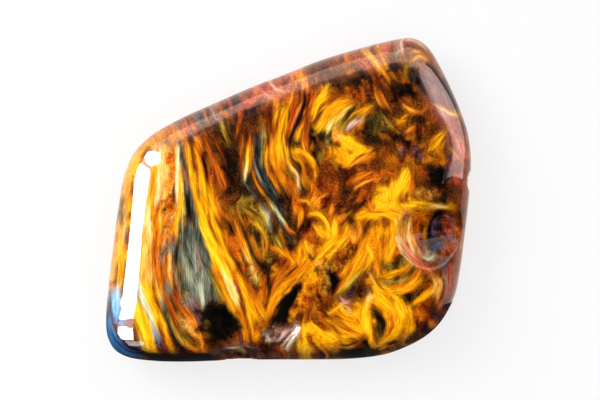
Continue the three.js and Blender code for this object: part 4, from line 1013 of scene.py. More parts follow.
class Canvas:
    """A fine square lattice over the stone that the markings are laid on before the stone takes them up."""

    LOW = np.array((94.0, 26.0))
    HIGH = np.array((484.0, 372.0))
    PITCH = 0.7  # steps of the drawing grid from one lattice point to the next
    VEIL_REACH = 16  # how far the veils reach from their edges, in steps of the drawing grid
    VEIL_DULLING = 0.9  # the share of the polish that a veil's edge takes away

    # The streaks in a lock, from coarse to fine: their share, how often they change across it and along it,
    # and what is added to the lock's seed
    STREAKS = ((0.38, 0.34, 0.014, 0), (0.36, 0.8, 0.022, 2), (0.26, 1.7, 0.04, 3))

    def __init__(self, colours):
        columns = np.arange(self.LOW[0], self.HIGH[0], self.PITCH)
        rows = np.arange(self.LOW[1], self.HIGH[1], self.PITCH)
        self.x, self.y = np.meshgrid(columns, rows)
        self.colours = colours
        tone = 0.12 + 0.36 * cloud(self.x, self.y, 18, 3, 4)
        self.colour = run_colour(colours, "gold", tone)
        turn = 2 * math.pi * cloud(self.x, self.y, 70, 9, 2)
        # A heading and its opposite are one, so a heading is kept as the direction of its double
        self.double = np.stack([np.cos(turn), np.sin(turn)], -1)
        self.silk = np.full(self.x.shape, 0.4)
        self.polish = np.ones(self.x.shape)

    def near(self, line, margin):
        """The lattice near a line: window, way along, offset, half width, heading, the line's length."""
        low = np.floor((line[:, :2].min(0) - margin - self.LOW) / self.PITCH).astype(int)
        high = np.ceil((line[:, :2].max(0) + margin - self.LOW) / self.PITCH).astype(int)
        low = np.maximum(low, 0)
        window = (slice(low[1], max(high[1], low[1])), slice(low[0], max(high[0], low[0])))
        x = self.x[window]
        y = self.y[window]
        steps = line[1:] - line[:-1]
        lengths = np.maximum(np.hypot(steps[:, 0], steps[:, 1]), 1e-6)
        starts = np.concatenate([[0], np.cumsum(lengths)])
        best = np.full(x.shape, np.inf)
        along, offset, half, way_x, way_y = np.zeros((5, *x.shape))
        last = len(lengths) - 1
        for i, length in enumerate(lengths):
            ahead_x, ahead_y = steps[i, :2] / length
            from_x, from_y = x - line[i, 0], y - line[i, 1]
            t = from_x * ahead_x + from_y * ahead_y
            held = np.clip(t, -np.inf if i == 0 else 0, np.inf if i == last else length)
            side = ahead_x * from_y - ahead_y * from_x
            distance = np.hypot(side, t - held)
            nearer = distance < best
            best = np.where(nearer, distance, best)
            along = np.where(nearer, starts[i] + held, along)
            offset = np.where(nearer, np.copysign(distance, side), offset)
            half = np.where(nearer, (line[i, 2] + steps[i, 2] * np.clip(t / length, 0, 1)) / 2, half)
            way_x = np.where(nearer, ahead_x, way_x)
            way_y = np.where(nearer, ahead_y, way_y)
        return window, along, offset, np.maximum(half, 0.35), (way_x, way_y), starts[-1]

    def lay(self, lock, seed, under):
        """Lay one lock, or the soft shade under it."""
        line = smooth_line(lock["points"])
        if not lock["grain"]:
            line[:, 2] = np.maximum(line[:, 2], 0.45 * line[:, 2].max() - 1)
        widest = line[:, 2].max() / 2
        margin = 2.2 * widest + 9 if under else 1.4 * widest + 3
        window, along, offset, half, way, total = self.near(line, margin)
        wander = 1.6 * (noise(along * 0.045, 0 * along, seed + 1) - 0.5)
        across = offset / half * line[:, 2].mean() / 2 + wander
        if lock["grain"]:
            streak = cloud(self.x[window], self.y[window], 8, seed)
        else:
            streak = sum(
                share * noise(across * fineness, along * run, seed + shift)
                for share, fineness, run, shift in self.STREAKS
            )
        streak = np.clip((streak - 0.5) * 1.8 + 0.5, 0, 1)
        edge = np.abs(offset) / half
        end = np.minimum(along, total - along)
        tones = np.interp(along / total, np.linspace(0, 1, len(lock["tones"])), lock["tones"])
        if under:
            cover = 0.7 * np.exp(-2.2 * (np.abs(offset) / (half + 2.4)) ** 2) * smooth_step(-6, 3, end)
            tone = tones * 0.72 + lock["contrast"] * 2 * (streak - 0.6)
        else:
            wide = np.minimum(1, half / 1.6)
            loose = np.clip(half / 7, 0, 1)
            reach = lock["firm"] * ((1 - edge) * (2.3 - 0.7 * wide - 0.6 * loose) + 0.28 - 0.1 * loose)
            reach += (streak - 0.5) * lock["ragged"] * (3.4 * wide + 2.4 * loose)
            fray = lock["fray"] * min(1, total / 24) * (1 + loose) / lock["firm"]
            ends = end / fray + 0.2 + (streak - 0.5) * (1.6 + loose)
            cover = smooth_step(0, 1, reach) * smooth_step(0, 1, ends)
            tone = tones + lock["contrast"] * 2.6 * (streak - 0.64)
            # Painted sheen: this makes a lock lighter along its middle and darker towards its edges, like
            # light on a rounded lock.
            tone = tone + lock["core_sheen"] * (0.6 - 2 * np.minimum(edge, 1) ** 2)
        self.blend(self.colour, window, run_colour(self.colours, lock["run"], tone), cover[..., None])
        self.blend(self.silk, window, 0.25 if lock["grain"] else 1.0, cover)
        if not lock["grain"]:
            way_x, way_y = way
            double = np.stack([way_x**2 - way_y**2, 2 * way_x * way_y], -1)
            self.blend(self.double, window, double, cover[..., None])

    def dull(self, edge):
        """Take the gleam off a strip along an edge line, on its right hand."""
        line = smooth_line(np.array([(x, y, 1) for x, y in edge]))
        reach = self.VEIL_REACH
        window, along, offset, _, _, total = self.near(line, reach)
        strip = smooth_step(-0.4, 0.8, offset) * smooth_step(reach, 0.7 * reach, offset)
        strip *= smooth_step(0, 3, along) * smooth_step(total, total - 3, along)
        self.polish[window] *= 1 - self.VEIL_DULLING * strip

    def blend(self, layer, window, fresh, cover):
        layer[window] += (fresh - layer[window]) * cover

    def sample(self, layer, x, y):
        """A layer's values at any points of the drawing grid."""
        column = np.clip((x - self.LOW[0]) / self.PITCH, 0, self.x.shape[1] - 1.001)
        row = np.clip((y - self.LOW[1]) / self.PITCH, 0, self.x.shape[0] - 1.001)
        left, top = column.astype(int), row.astype(int)
        u, v = column - left, row - top
        if layer.ndim == 3:
            u, v = u[..., None], v[..., None]
        upper = layer[top, left] * (1 - u) + layer[top, left + 1] * u
        lower = layer[top + 1, left] * (1 - u) + layer[top + 1, left + 1] * u
        return upper * (1 - v) + lower * v

    def ways(self, x, y):
        """The headings at points, as unit steps."""
        double = self.sample(self.double, x, y)
        turn = np.arctan2(double[..., 1], double[..., 0]) / 2
        return np.cos(turn), np.sin(turn)

    def drawn_out(self, layer, reach, step=1.2):
        """A layer smeared along the fibres, so far either way."""
        total = layer.copy()
        weight = 1.0
        count = int(round(reach / step))
        for sense in (1, -1):
            x, y = self.x, self.y
            way_x, way_y = self.ways(x, y)
            way_x, way_y = way_x * sense, way_y * sense
            for i in range(1, count + 1):
                x, y = x + way_x * step, y + way_y * step
                next_x, next_y = self.ways(x, y)
                turned = np.where(next_x * way_x + next_y * way_y < 0, -1, 1)
                way_x, way_y = next_x * turned, next_y * turned
                share = 0.5 + 0.5 * math.cos(math.pi * i / (count + 1))
                total += share * self.sample(layer, x, y)
                weight += share
        return total / weight

    def strands(self, size, reach, seed):
        """Noise drawn out along the fibres, from 0 to 1."""
        drawn = self.drawn_out(noise(self.x / size, self.y / size, seed), reach)
        return np.clip((drawn - drawn.mean()) / drawn.std() * 0.22 + 0.5, 0, 1)

    def soften_headings(self):
        for _ in range(3):
            d = np.pad(self.double, ((1, 1), (1, 1), (0, 0)), mode="edge")
            self.double = (d[:-2, 1:-1] + d[2:, 1:-1] + d[1:-1, :-2] + d[1:-1, 2:] + d[1:-1, 1:-1]) / 5

    def comb(self):
        """Turn the locks into silk: sway and fray them, then draw their colours out along the fibres."""
        tangle = 0.35 + 0.65 * smooth_step(250, 300, self.x)
        sway_x, sway_y = (
            5 * (noise(self.x / 15, self.y / 15, seed) - 0.5)
            + 2.4 * (noise(self.x / 6, self.y / 6, seed + 1) - 0.5)
            for seed in (61, 63)
        )
        x, y = self.x + tangle * sway_x, self.y + tangle * sway_y
        layers = (self.colour, self.silk, self.double)
        self.colour, self.silk, self.double = (self.sample(layer, x, y) for layer in layers)
        self.soften_headings()
        way_x, way_y = self.ways(self.x, self.y)
        coarse = self.strands(3.2, 26, 91) - 0.5
        fine = self.strands(1.8, 20, 92) - 0.5
        slip = (7 * coarse + 6 * fine) * self.silk
        shift = (1.5 * coarse + 0.9 * fine) * (0.4 + 0.6 * self.silk)
        x = self.x + way_x * slip - way_y * shift
        y = self.y + way_y * slip + way_x * shift
        self.colour = self.sample(self.colour, x, y)
        drawn = self.drawn_out(self.colour, 6)
        self.colour += (drawn - self.colour) * (0.3 + 0.7 * self.silk)[..., None]
        lift = 1 + (0.75 * fine + 0.6 * coarse) * (0.35 + 0.65 * self.silk)
        pocket = smooth_step(0.41, 0.29, cloud(self.x, self.y, 12, 77)) * (1 - 0.8 * self.silk)
        lift = np.maximum(lift, 0.15) * (1 - 0.5 * pocket)
        # Darker fibres lose their yellow before their red
        power = np.where(lift < 1, lift**-0.8, lift**-0.25)
        self.colour = np.clip(self.colour, 0, 1) ** power[..., None] * (lift**0.45)[..., None]
        bright = self.colour @ (0.3, 0.6, 0.1)
        self.colour *= (np.maximum(bright, 1e-4) / 0.22)[..., None] ** 0.1
        self.colour /= np.maximum(self.colour.max(-1, keepdims=True), 1)


def painted(colours):
    """The whole stone's markings: the soft shade under every lock, then the locks, then their silk."""
    canvas = Canvas(colours)
    for under in (True, False):
        for number, lock in enumerate(LOCKS):
            canvas.lay(lock, FIRST_SEED + number * SEED_STEP, under)
    canvas.comb()
    for edge in VEIL_EDGES:
        canvas.dull(edge)
    return canvas


class StoneSizes(bpy.types.PropertyGroup):
    """The stone's main sizes."""

    width: FloatProperty(
        name="Width",
        description="Left to right over the widest place",
        default=32.8 * MM,
        min=5 * MM,
        unit="LENGTH",
    )
    thickness: FloatProperty(
        name="Thickness",
        description="From the resting face to the middle of the top",
        default=9.0 * MM,
        min=2 * MM,
        unit="LENGTH",
    )
    girth_height: FloatProperty(
        name="Girth height",
        description="How far above the resting face the stone is widest",
        default=4.3 * MM,
        min=1 * MM,
        unit="LENGTH",
    )
    dome_rise: FloatProperty(
        name="Dome rise",
        description="How far the top swells from its rim to its middle",
        default=0.55 * MM,
        min=0,
        unit="LENGTH",
    )


class StoneFinish(bpy.types.PropertyGroup):
    """The polish and the silk of the fibres."""

    roughness: FloatProperty(
        name="Silk roughness",
        description="Roughness of the fibres under the polish",
        default=0.42,
        min=0.05,
        max=1,
        subtype="FACTOR",
    )
    polish: FloatProperty(
        name="Polish roughness",
        description="Roughness of the polished skin",
        default=0.02,
        min=0,
        max=0.5,
        subtype="FACTOR",
    )
    fibre_depth: FloatProperty(
        name="Fibre depth",
        description="How strongly the finest fibres darken and lighten the stone",
        default=0.8,
        min=0,
        max=1,
        subtype="FACTOR",
    )
    brightness: FloatProperty(
        name="Brightness",
        description="How much of the light the markings give back",
        default=0.95,
        min=0.1,
        max=1,
        subtype="FACTOR",
    )


class StoneColours(bpy.types.PropertyGroup):
    """Six shades of each run of colour."""


for run, colours in RUNS.items():
    for shade, colour in zip(SHADES, colours):
        StoneColours.__annotations__[f"{run}_{shade}"] = FloatVectorProperty(
            name=f"{run} {shade}".capitalize(),
            description=f"The {shade} shade of the {run} run",
            default=tuple(linear(colour)),
            min=0,
            max=1,
            size=3,
            subtype="COLOR",
        )


class StudioSettings(bpy.types.PropertyGroup):
    """The floor, the lights and the camera."""

    floor_colour: FloatVectorProperty(
        name="Floor colour",
        description="Colour of the plain floor",
        default=(0.92, 0.92, 0.925),
        min=0,
        max=1,
        size=3,
        subtype="COLOR",
    )
    floor_glow: FloatProperty(
        name="Floor glow",
        description="The share of the floor's brightness that comes from below",
        default=0.8,
        min=0,
        max=1,
        subtype="FACTOR",
    )
    screens: FloatProperty(
        name="Screens",
        description="How brightly the screens that the polish mirrors glow, over their usual radiance",
        default=1,
        min=0,
    )
    fill: FloatProperty(
        name="Fill",
        description="Radiance of the soft light overhead",
        default=2.15,
        min=0,
    )
    side_fill: FloatProperty(
        name="Side fill",
        description="Radiance of the soft light from the left",
        default=5.8,
        min=0,
    )
    elevation: FloatProperty(
        name="Camera elevation",
        description="How far above the horizon the camera stands",
        default=math.radians(86),
        min=0,
        max=QUARTER_TURN,
        subtype="ANGLE",
    )
    lens: FloatProperty(
        name="Lens",
        description="Focal length of the camera",
        default=200,
        min=20,
        unit="CAMERA",
    )


# Form


def closed_curve(points, steps=40):
    """A closed centripetal Catmull-Rom curve through the points."""
    runs = []
    t = np.arange(steps)[:, None] / steps
    count = len(points)
    for i in range(count):
        p0, p1, p2, p3 = (points[(i + k) % count] for k in (-1, 0, 1, 2))
        d0, d1, d2 = (np.sqrt(np.linalg.norm(b - a)) for a, b in ((p0, p1), (p1, p2), (p2, p3)))
        out = d1 * ((p1 - p0) / d0 - (p2 - p0) / (d0 + d1) + (p2 - p1) / d1)
        into = d1 * ((p2 - p1) / d1 - (p3 - p1) / (d1 + d2) + (p3 - p2) / d2)
        runs.append(
            p1 + out * t + (3 * (p2 - p1) - 2 * out - into) * t**2 + (2 * (p1 - p2) + out + into) * t**3
        )
    return np.vstack(runs)


def smoothed(values, reach):
    """A closed run of values, each the weighted mean of those within reach of it."""
    weights = np.cos(np.linspace(-QUARTER_TURN, QUARTER_TURN, 2 * reach + 3)[1:-1]) ** 2
    ends = [(reach, reach)] + [(0, 0)] * (values.ndim - 1)
    padded = np.pad(values, ends, mode="wrap")
    total = sum(w * padded[i : i + len(values)] for i, w in enumerate(weights))
    return total / weights.sum()


class StoneForm:
    """The stone's surface, in metres, from the same values as its solid."""

    TURNS = 2400  # evenly spaced places round the outline at which its rounding is worked out

    def __init__(self, sizes):
        self.sizes = sizes
        self.step = sizes.width / GRID_ACROSS
        curve = closed_curve(self.from_grid(OUTLINE))
        self.shift = -(curve.min(0) + curve.max(0)) / 2
        ring = np.vstack([curve, curve[:1]])
        lengths = np.concatenate([[0], np.cumsum(np.linalg.norm(np.diff(ring, axis=0), axis=1))])
        turns = np.arange(self.TURNS) / self.TURNS
        edge = np.stack([np.interp(turns, lengths / lengths[-1], ring[:, i]) for i in range(2)], -1)
        edge = smoothed(edge, 6)
        along = smoothed(np.roll(edge, -2, 0) - np.roll(edge, 2, 0), 14)
        along /= np.linalg.norm(along, axis=1, keepdims=True)
        out_x, out_y = along[:, 1], -along[:, 0]
        radius = np.linalg.norm(edge, axis=1)
        squareness = (edge[:, 0] * out_x + edge[:, 1] * out_y) / radius
        side = np.where(out_x < 0, RIM_REACH["left"], RIM_REACH["right"])
        end = np.where(out_y < 0, RIM_REACH["front"], RIM_REACH["back"])
        bearing = np.arctan2(edge[:, 1], edge[:, 0])
        start, stop = np.radians(FACET["bearings"])
        span = np.clip((bearing - start) / (stop - start), 0, 1)
        waves = sum(rise * np.sin(count * bearing + phase) for rise, count, phase in GIRTH_WAVES)
        self.outline = {
            "x": edge[:, 0],
            "y": edge[:, 1],
            "upper_reach": smoothed((out_x**2 * side + out_y**2 * end) * MM / squareness, 14),
            "lower_reach": smoothed(UNDERSIDE_REACH * MM / squareness, 14),
            "girth": sizes.girth_height + waves * MM,
            "facet": FACET["depth"] * np.sin(math.pi * span),
        }

    def from_grid(self, points):
        away = (np.asarray(points, float) - GRID_MIDDLE) * self.step
        return away * (1, -1)

    def sector(self, turn):
        """What the points at these turns of the outline share."""
        place = np.arange(self.TURNS + 1) / self.TURNS
        found = {
            name: np.interp(turn, place, np.append(values, values[0]))
            for name, values in self.outline.items()
        }
        found["radius"] = np.hypot(found["x"], found["y"])
        return found

    def swell(self, x, y):
        rise = np.zeros_like(x)
        for height, length, heading, phase in TOP_SWELLS:
            along = x * math.cos(heading) + y * math.sin(heading)
            rise += height * MM * np.sin(2 * math.pi * along / (length * MM) + phase)
        return rise

    def rounding(self, sector, tilt):
        """How far in from the outline the upper rim lies at a tilt up it, and its share of the height."""
        out, up = np.cos(tilt), np.sin(tilt)
        facing = math.radians(FACET["facing"])
        over = out * math.cos(facing) + up * math.sin(facing) - 1 + sector["facet"]
        over = np.where(sector["facet"] > 0, (over + np.hypot(over, 0.25 * sector["facet"])) / 2, 0)
        return sector["upper_reach"] * (1 - out + over * math.cos(facing)), up - over * math.sin(facing)

    def upper(self, sector, inset, up):
        """Points of the upper half, inset from the outline, at a share of the height above the girth."""
        share = 1 - inset / sector["radius"]
        x, y = sector["x"] * share, sector["y"] * share
        top = self.sizes.thickness - self.sizes.dome_rise * share**2 + self.swell(x, y)
        return np.stack([x, y, sector["girth"] + (top - sector["girth"]) * up], -1)

    def lower(self, sector, inset, tilt):
        """Points of the lower half, the tilt measured down the rim to the resting face."""
        share = 1 - inset / sector["radius"]
        x, y = sector["x"] * share, sector["y"] * share
        return np.stack([x, y, sector["girth"] * (1 - np.sin(tilt))], -1)

    def hollowed(self, points):
        """The points once every hollow has pushed them out of its ellipsoid, and how far each pushed."""
        pushed = {}
        for name, (at, height, radii, turn, push) in HOLLOWS.items():
            centre = np.append(self.from_grid(at), height * MM)
            push = np.array(push) / np.linalg.norm(push)
            angle = math.radians(turn)
            axes = np.array(
                [[math.cos(angle), math.sin(angle), 0], [-math.sin(angle), math.cos(angle), 0], [0, 0, 1]]
            )
            size = np.array(radii) * MM
            start = (points - centre) @ axes.T / size
            way = axes @ push / size
            a = way @ way
            b = start @ way
            c = (start**2).sum(-1) - 1
            inside = c < 0
            out = np.zeros(len(points))
            out[inside] = (-b[inside] + np.sqrt(b[inside] ** 2 - a * c[inside])) / a
            eased = np.hypot(out, HOLLOW_LIP * MM) - HOLLOW_LIP * MM
            points = points + push * eased[:, None]
            pushed[name] = eased
        return points, pushed


def ring_faces(ring):
    """The triangles between a ring of eight points more than the last, and the last."""
    inner_start = 1 + 4 * (ring - 1) * (ring - 2)
    outer_start = 1 + 4 * ring * (ring - 1)
    if ring == 1:
        return [(0, 1 + i, 1 + (i + 1) % 8) for i in range(8)]
    eighth, place = np.divmod(np.arange(8 * ring), ring)
    outer = outer_start + eighth * ring + place
    outer_next = outer_start + (eighth * ring + place + 1) % (8 * ring)
    inner = inner_start + (eighth * (ring - 1) + place) % (8 * (ring - 1))
    fans = np.stack([inner, outer, outer_next], -1)
    inner_next = inner_start + (eighth * (ring - 1) + place + 1) % (8 * (ring - 1))
    between = np.stack([inner, outer_next, inner_next], -1)[place < ring - 1]
    return np.vstack([fans, between])


def row_faces(upper_start, lower_start, count):
    """The triangles between two rows of the same number of points."""
    i = np.arange(count)
    j = (i + 1) % count
    u, v = upper_start + i, upper_start + j
    p, q = lower_start + i, lower_start + j
    return np.vstack([np.stack([u, p, q], -1), np.stack([u, q, v], -1)])


def halving_faces(upper_start, lower_start, count):
    """The triangles between a row and one of half as many points."""
    i = np.arange(count // 2)
    a = upper_start + 2 * i
    b = a + 1
    c = upper_start + (2 * i + 2) % count
    p = lower_start + i
    q = lower_start + (i + 1) % (count // 2)
    return np.vstack([np.stack([a, p, b], -1), np.stack([b, p, q], -1), np.stack([b, q, c], -1)])


def stone_surface(form):
    """The stone's points, triangles, heights before the hollows, and hollow depths."""
    rings = TOP_RINGS + RIM_RINGS
    ring = np.concatenate([[0], *(np.full(8 * k, k) for k in range(1, rings + 1))])
    turn = np.concatenate([[0.0], *(np.arange(8 * k) / (8 * k) for k in range(1, rings + 1))])
    sector = form.sector(turn)
    share = np.minimum(ring / TOP_RINGS, 1)
    tilt = QUARTER_TURN * np.clip(1 - (ring - TOP_RINGS) / RIM_RINGS, 0, 1)
    inset, up = form.rounding(sector, tilt)
    level = sector["radius"] - share * (sector["radius"] - sector["upper_reach"])
    inset = np.where(ring <= TOP_RINGS, level, inset)
    points = [form.upper(sector, inset, up)]
    faces = [ring_faces(k) for k in range(1, rings + 1)]

    count = 8 * rings
    start = len(ring) - count
    total = len(ring)
    every = 1
    for lot, rows in enumerate(LOWER_ROWS):
        if lot:
            every *= 2
            count //= 2
        sector = form.sector(np.arange(count) / count)
        reach = sector["lower_reach"]
        for row in range(1, rows + 1):
            if lot < 2:
                reached = LOWER_TILTS[lot] + (LOWER_TILTS[lot + 1] - LOWER_TILTS[lot]) * row / rows
                tilt = np.full(count, QUARTER_TURN * reached)
                inset = reach * (1 - np.cos(tilt))
            else:
                tilt = np.full(count, QUARTER_TURN)
                inset = sector["radius"] - (1 - row / (rows + 1)) * (sector["radius"] - reach)
            points.append(form.lower(sector, inset, tilt))
            if lot and row == 1:
                faces.append(halving_faces(start, total, 2 * count))
            else:
                faces.append(row_faces(start, total, count))
            start = total
            total += count
    i = np.arange(count)
    faces.append(np.stack([np.full(count, total), start + (i + 1) % count, start + i], -1))
    points.append(np.zeros((1, 3)))
    points = np.vstack(points)
    height = points[:, 2].copy()
    points, pushed = form.hollowed(points)
    return points, np.vstack(faces), height, pushed


def add_attribute(mesh, name, kind, field, values):
    attribute = mesh.attributes.new(name, kind, "POINT")
    attribute.data.foreach_set(field, np.ascontiguousarray(values, dtype=np.float32).ravel())


def viewpoint(form, studio):
    """The camera's target, its direction from there and its distance: the grid's step shows as one pixel."""
    target = np.append(form.from_grid(GRID_CENTRE) + form.shift, form.sizes.girth_height)
    back = np.array([0, -math.cos(studio.elevation), math.sin(studio.elevation)])
    return target, back, FRAME_ACROSS * form.step * studio.lens / SENSOR


class Wrap:
    """How the markings go round the stone: on down its flanks, and turned half round on its underside."""

    def __init__(self, seen, height, step):
        out = seen - GRID_MIDDLE
        out /= np.maximum(np.linalg.norm(out, axis=1, keepdims=True), 1)
        sunk = np.maximum(FLANK["top"] * MM - height, 0)
        ease = FLANK["ease"] * MM
        slide = np.where(sunk < ease, sunk**2 / (2 * ease), sunk - ease / 2) / step
        self.seen = seen
        self.upper = seen - out * slide[:, None]
        self.lower = GRID_MIDDLE - UNDERSIDE_SCALE * (seen + out * (height / step)[:, None] - GRID_MIDDLE)
        self.under = smooth_step(FLANK["fade"][0] * MM, FLANK["fade"][1] * MM, height)

    def take(self, canvas, layer):
        upper = canvas.sample(layer, *self.upper.T)
        lower = canvas.sample(layer, *self.lower.T)
        share = self.under[:, None] if layer.ndim == 3 else self.under
        return upper + (lower - upper) * share


def stone_mesh(sizes, colours, studio):
    form = StoneForm(sizes)
    points, faces, height, pushed = stone_surface(form)
    points[:, :2] += form.shift

    # Where each point shows on the drawing grid, seen from the camera
    target, back, distance = viewpoint(form, studio)
    away = points - target
    nearness = distance / (distance - away @ back) / form.step
    x = GRID_CENTRE[0] + away[:, 0] * nearness
    y = GRID_CENTRE[1] - (away[:, 1] * back[2] - away[:, 2] * back[1]) * nearness
    canvas = painted(colours)
    fluted = smooth_step(0, FLUTE["markings"] * MM, pushed["near flute"])
    height += np.maximum(FLANK["top"] * MM - height, 0) * fluted
    wrap = Wrap(np.stack([x, y], -1), height, form.step)
    colour = wrap.take(canvas, canvas.colour)
    # Painted shade: the markings are darkened on the flute's floor.
    shaded = smooth_step(FLUTE["shaded"][0] * MM, FLUTE["shaded"][1] * MM, pushed["near flute"])
    colour *= 1 - FLUTE["shade"] * shaded[:, None]
    scooped = pushed["outer scoop"] + pushed["inner scoop"]
    dulled = smooth_step(SCOOP_POLISH["depths"][0] * MM, SCOOP_POLISH["depths"][1] * MM, scooped)
    polish = canvas.sample(canvas.polish, x, y) * (1 - SCOOP_POLISH["dulled"] * dulled)
    polish += (1 - polish) * wrap.under

    mesh = bpy.data.meshes.new("pietersite_stone")
    mesh.vertices.add(len(points))
    mesh.vertices.foreach_set("co", points.astype(np.float32).ravel())
    mesh.loops.add(3 * len(faces))
    mesh.loops.foreach_set("vertex_index", faces.astype(np.int32).ravel())
    mesh.polygons.add(len(faces))
    mesh.polygons.foreach_set("loop_start", np.arange(0, 3 * len(faces), 3, dtype=np.int32))
    mesh.update(calc_edges=True)
    mesh.validate()
    mesh.shade_smooth()
    # The marking colours hold the stone's own colours with painted sheen, shade and reflection laid into
    # them.
    add_attribute(mesh, "marking", "FLOAT_COLOR", "color", np.column_stack([colour, np.ones(len(points))]))
    place = np.column_stack([x, y, points[:, 2] / form.step])
    add_attribute(mesh, "place", "FLOAT_VECTOR", "vector", place)
    heading = np.column_stack([wrap.take(canvas, canvas.double), np.zeros(len(points))])
    add_attribute(mesh, "heading", "FLOAT_VECTOR", "vector", heading)
    add_attribute(mesh, "silk", "FLOAT", "value", wrap.take(canvas, canvas.silk))
    add_attribute(mesh, "polish", "FLOAT", "value", polish)
    normals = np.empty(3 * len(points), dtype=np.float32)
    mesh.vertex_normals.foreach_get("vector", normals)
    add_attribute(mesh, "flat", "FLOAT", "value", smooth_step(*FLAT, normals[2::3]))
    return mesh


# Materials


def new_group(name, inputs, outputs):
    """An empty node group, from (name, socket type, default) inputs and (name, socket type) outputs."""
    group = bpy.data.node_groups.new(name, "ShaderNodeTree")
    for label, kind, default in inputs:
        socket = group.interface.new_socket(label, in_out="INPUT", socket_type=kind)
        socket.default_value = default
    for label, kind in outputs:
        group.interface.new_socket(label, in_out="OUTPUT", socket_type=kind)
    return group, group.nodes.new("NodeGroupInput"), group.nodes.new("NodeGroupOutput")


def maths(tree, operation, *values):
    """A Math node, each value a number or a socket."""
    node = tree.nodes.new("ShaderNodeMath")
    node.operation = operation
    for socket, value in zip(node.inputs, values):
        if isinstance(value, (int, float)):
            socket.default_value = value
        else:
            tree.links.new(value, socket)
    return node.outputs[0]


def fine_fibres_group():
    """Fibres finer than the mesh: noise drawn out along the heading, and grain where there is no silk."""
    group, given, made = new_group(
        "Fine fibres",
        [
            ("Colour", "NodeSocketColor", (0.5, 0.5, 0.5, 1)),
            ("Place", "NodeSocketVector", (0, 0, 0)),
            ("Heading", "NodeSocketVector", (0, 0, 0)),
            ("Silk", "NodeSocketFloat", 1.0),
            ("Depth", "NodeSocketFloat", 0.5),
            ("Brightness", "NodeSocketFloat", 1.0),
        ],
        [("Colour", "NodeSocketColor"), ("Height", "NodeSocketFloat")],
    )
    unit = group.nodes.new("ShaderNodeVectorMath")
    unit.operation = "NORMALIZE"
    group.links.new(given.outputs["Heading"], unit.inputs[0])
    total, weights = None, None
    for i in range(FIBRE_WAYS):
        turn = math.pi * i / FIBRE_WAYS
        drawn = group.nodes.new("ShaderNodeMapping")
        drawn.vector_type = "TEXTURE"
        drawn.inputs["Location"].default_value = (37.7 * i, 11.3 * i, 0)
        drawn.inputs["Rotation"].default_value = (0, 0, turn)
        drawn.inputs["Scale"].default_value = FIBRE_SIZE
        group.links.new(given.outputs["Place"], drawn.inputs["Vector"])
        strands = fibre_noise(group, drawn.outputs[0])
        nearness = group.nodes.new("ShaderNodeVectorMath")
        nearness.operation = "DOT_PRODUCT"
        nearness.inputs[1].default_value = (math.cos(2 * turn), math.sin(2 * turn), 0)
        group.links.new(unit.outputs[0], nearness.inputs[0])
        weight = maths(group, "SUBTRACT", nearness.outputs["Value"], math.cos(2 * math.pi / FIBRE_WAYS))
        weight = maths(group, "MAXIMUM", weight, 0)
        share = maths(group, "MULTIPLY", weight, strands)
        total = maths(group, "ADD", total, share) if total else share
        weights = maths(group, "ADD", weights, weight) if weights else weight
    strands = maths(group, "DIVIDE", total, maths(group, "MAXIMUM", weights, 0.01))
    specks = group.nodes.new("ShaderNodeVectorMath")
    specks.operation = "SCALE"
    specks.inputs["Scale"].default_value = SPECKS["scale"]
    group.links.new(given.outputs["Place"], specks.inputs[0])
    grain = fibre_noise(group, specks.outputs[0])
    specks = maths(group, "MULTIPLY_ADD", grain, SPECKS["swing"], SPECKS["least"])
    height = maths(group, "MULTIPLY", maths(group, "SUBTRACT", strands, specks), given.outputs["Silk"])
    height = maths(group, "ADD", height, specks)
    swing = maths(group, "SUBTRACT", height, 0.5)
    swing = maths(group, "MULTIPLY", swing, given.outputs["Depth"])
    power = maths(group, "MULTIPLY_ADD", swing, FIBRE_SHADE["deepen"], 1.0)
    deepened = group.nodes.new("ShaderNodeGamma")
    group.links.new(given.outputs["Colour"], deepened.inputs["Color"])
    group.links.new(maths(group, "MAXIMUM", power, FIBRE_SHADE["least power"]), deepened.inputs["Gamma"])
    swing = maths(group, "MULTIPLY_ADD", swing, FIBRE_SHADE["lighten"], 1.0)
    light = maths(group, "MAXIMUM", swing, FIBRE_SHADE["least light"])
    factor = maths(group, "MULTIPLY", light, given.outputs["Brightness"])
    scale = group.nodes.new("ShaderNodeVectorMath")
    scale.operation = "SCALE"
    group.links.new(deepened.outputs["Color"], scale.inputs[0])
    group.links.new(factor, scale.inputs["Scale"])
    group.links.new(scale.outputs[0], made.inputs["Colour"])
    group.links.new(height, made.inputs["Height"])
    return group


def fibre_noise(group, place):
    noise_node = group.nodes.new("ShaderNodeTexNoise")
    noise_node.inputs["Scale"].default_value = 1
    noise_node.inputs["Detail"].default_value = 2
    noise_node.inputs["Roughness"].default_value = 0.6
    group.links.new(place, noise_node.inputs["Vector"])
    return noise_node.outputs["Fac"]


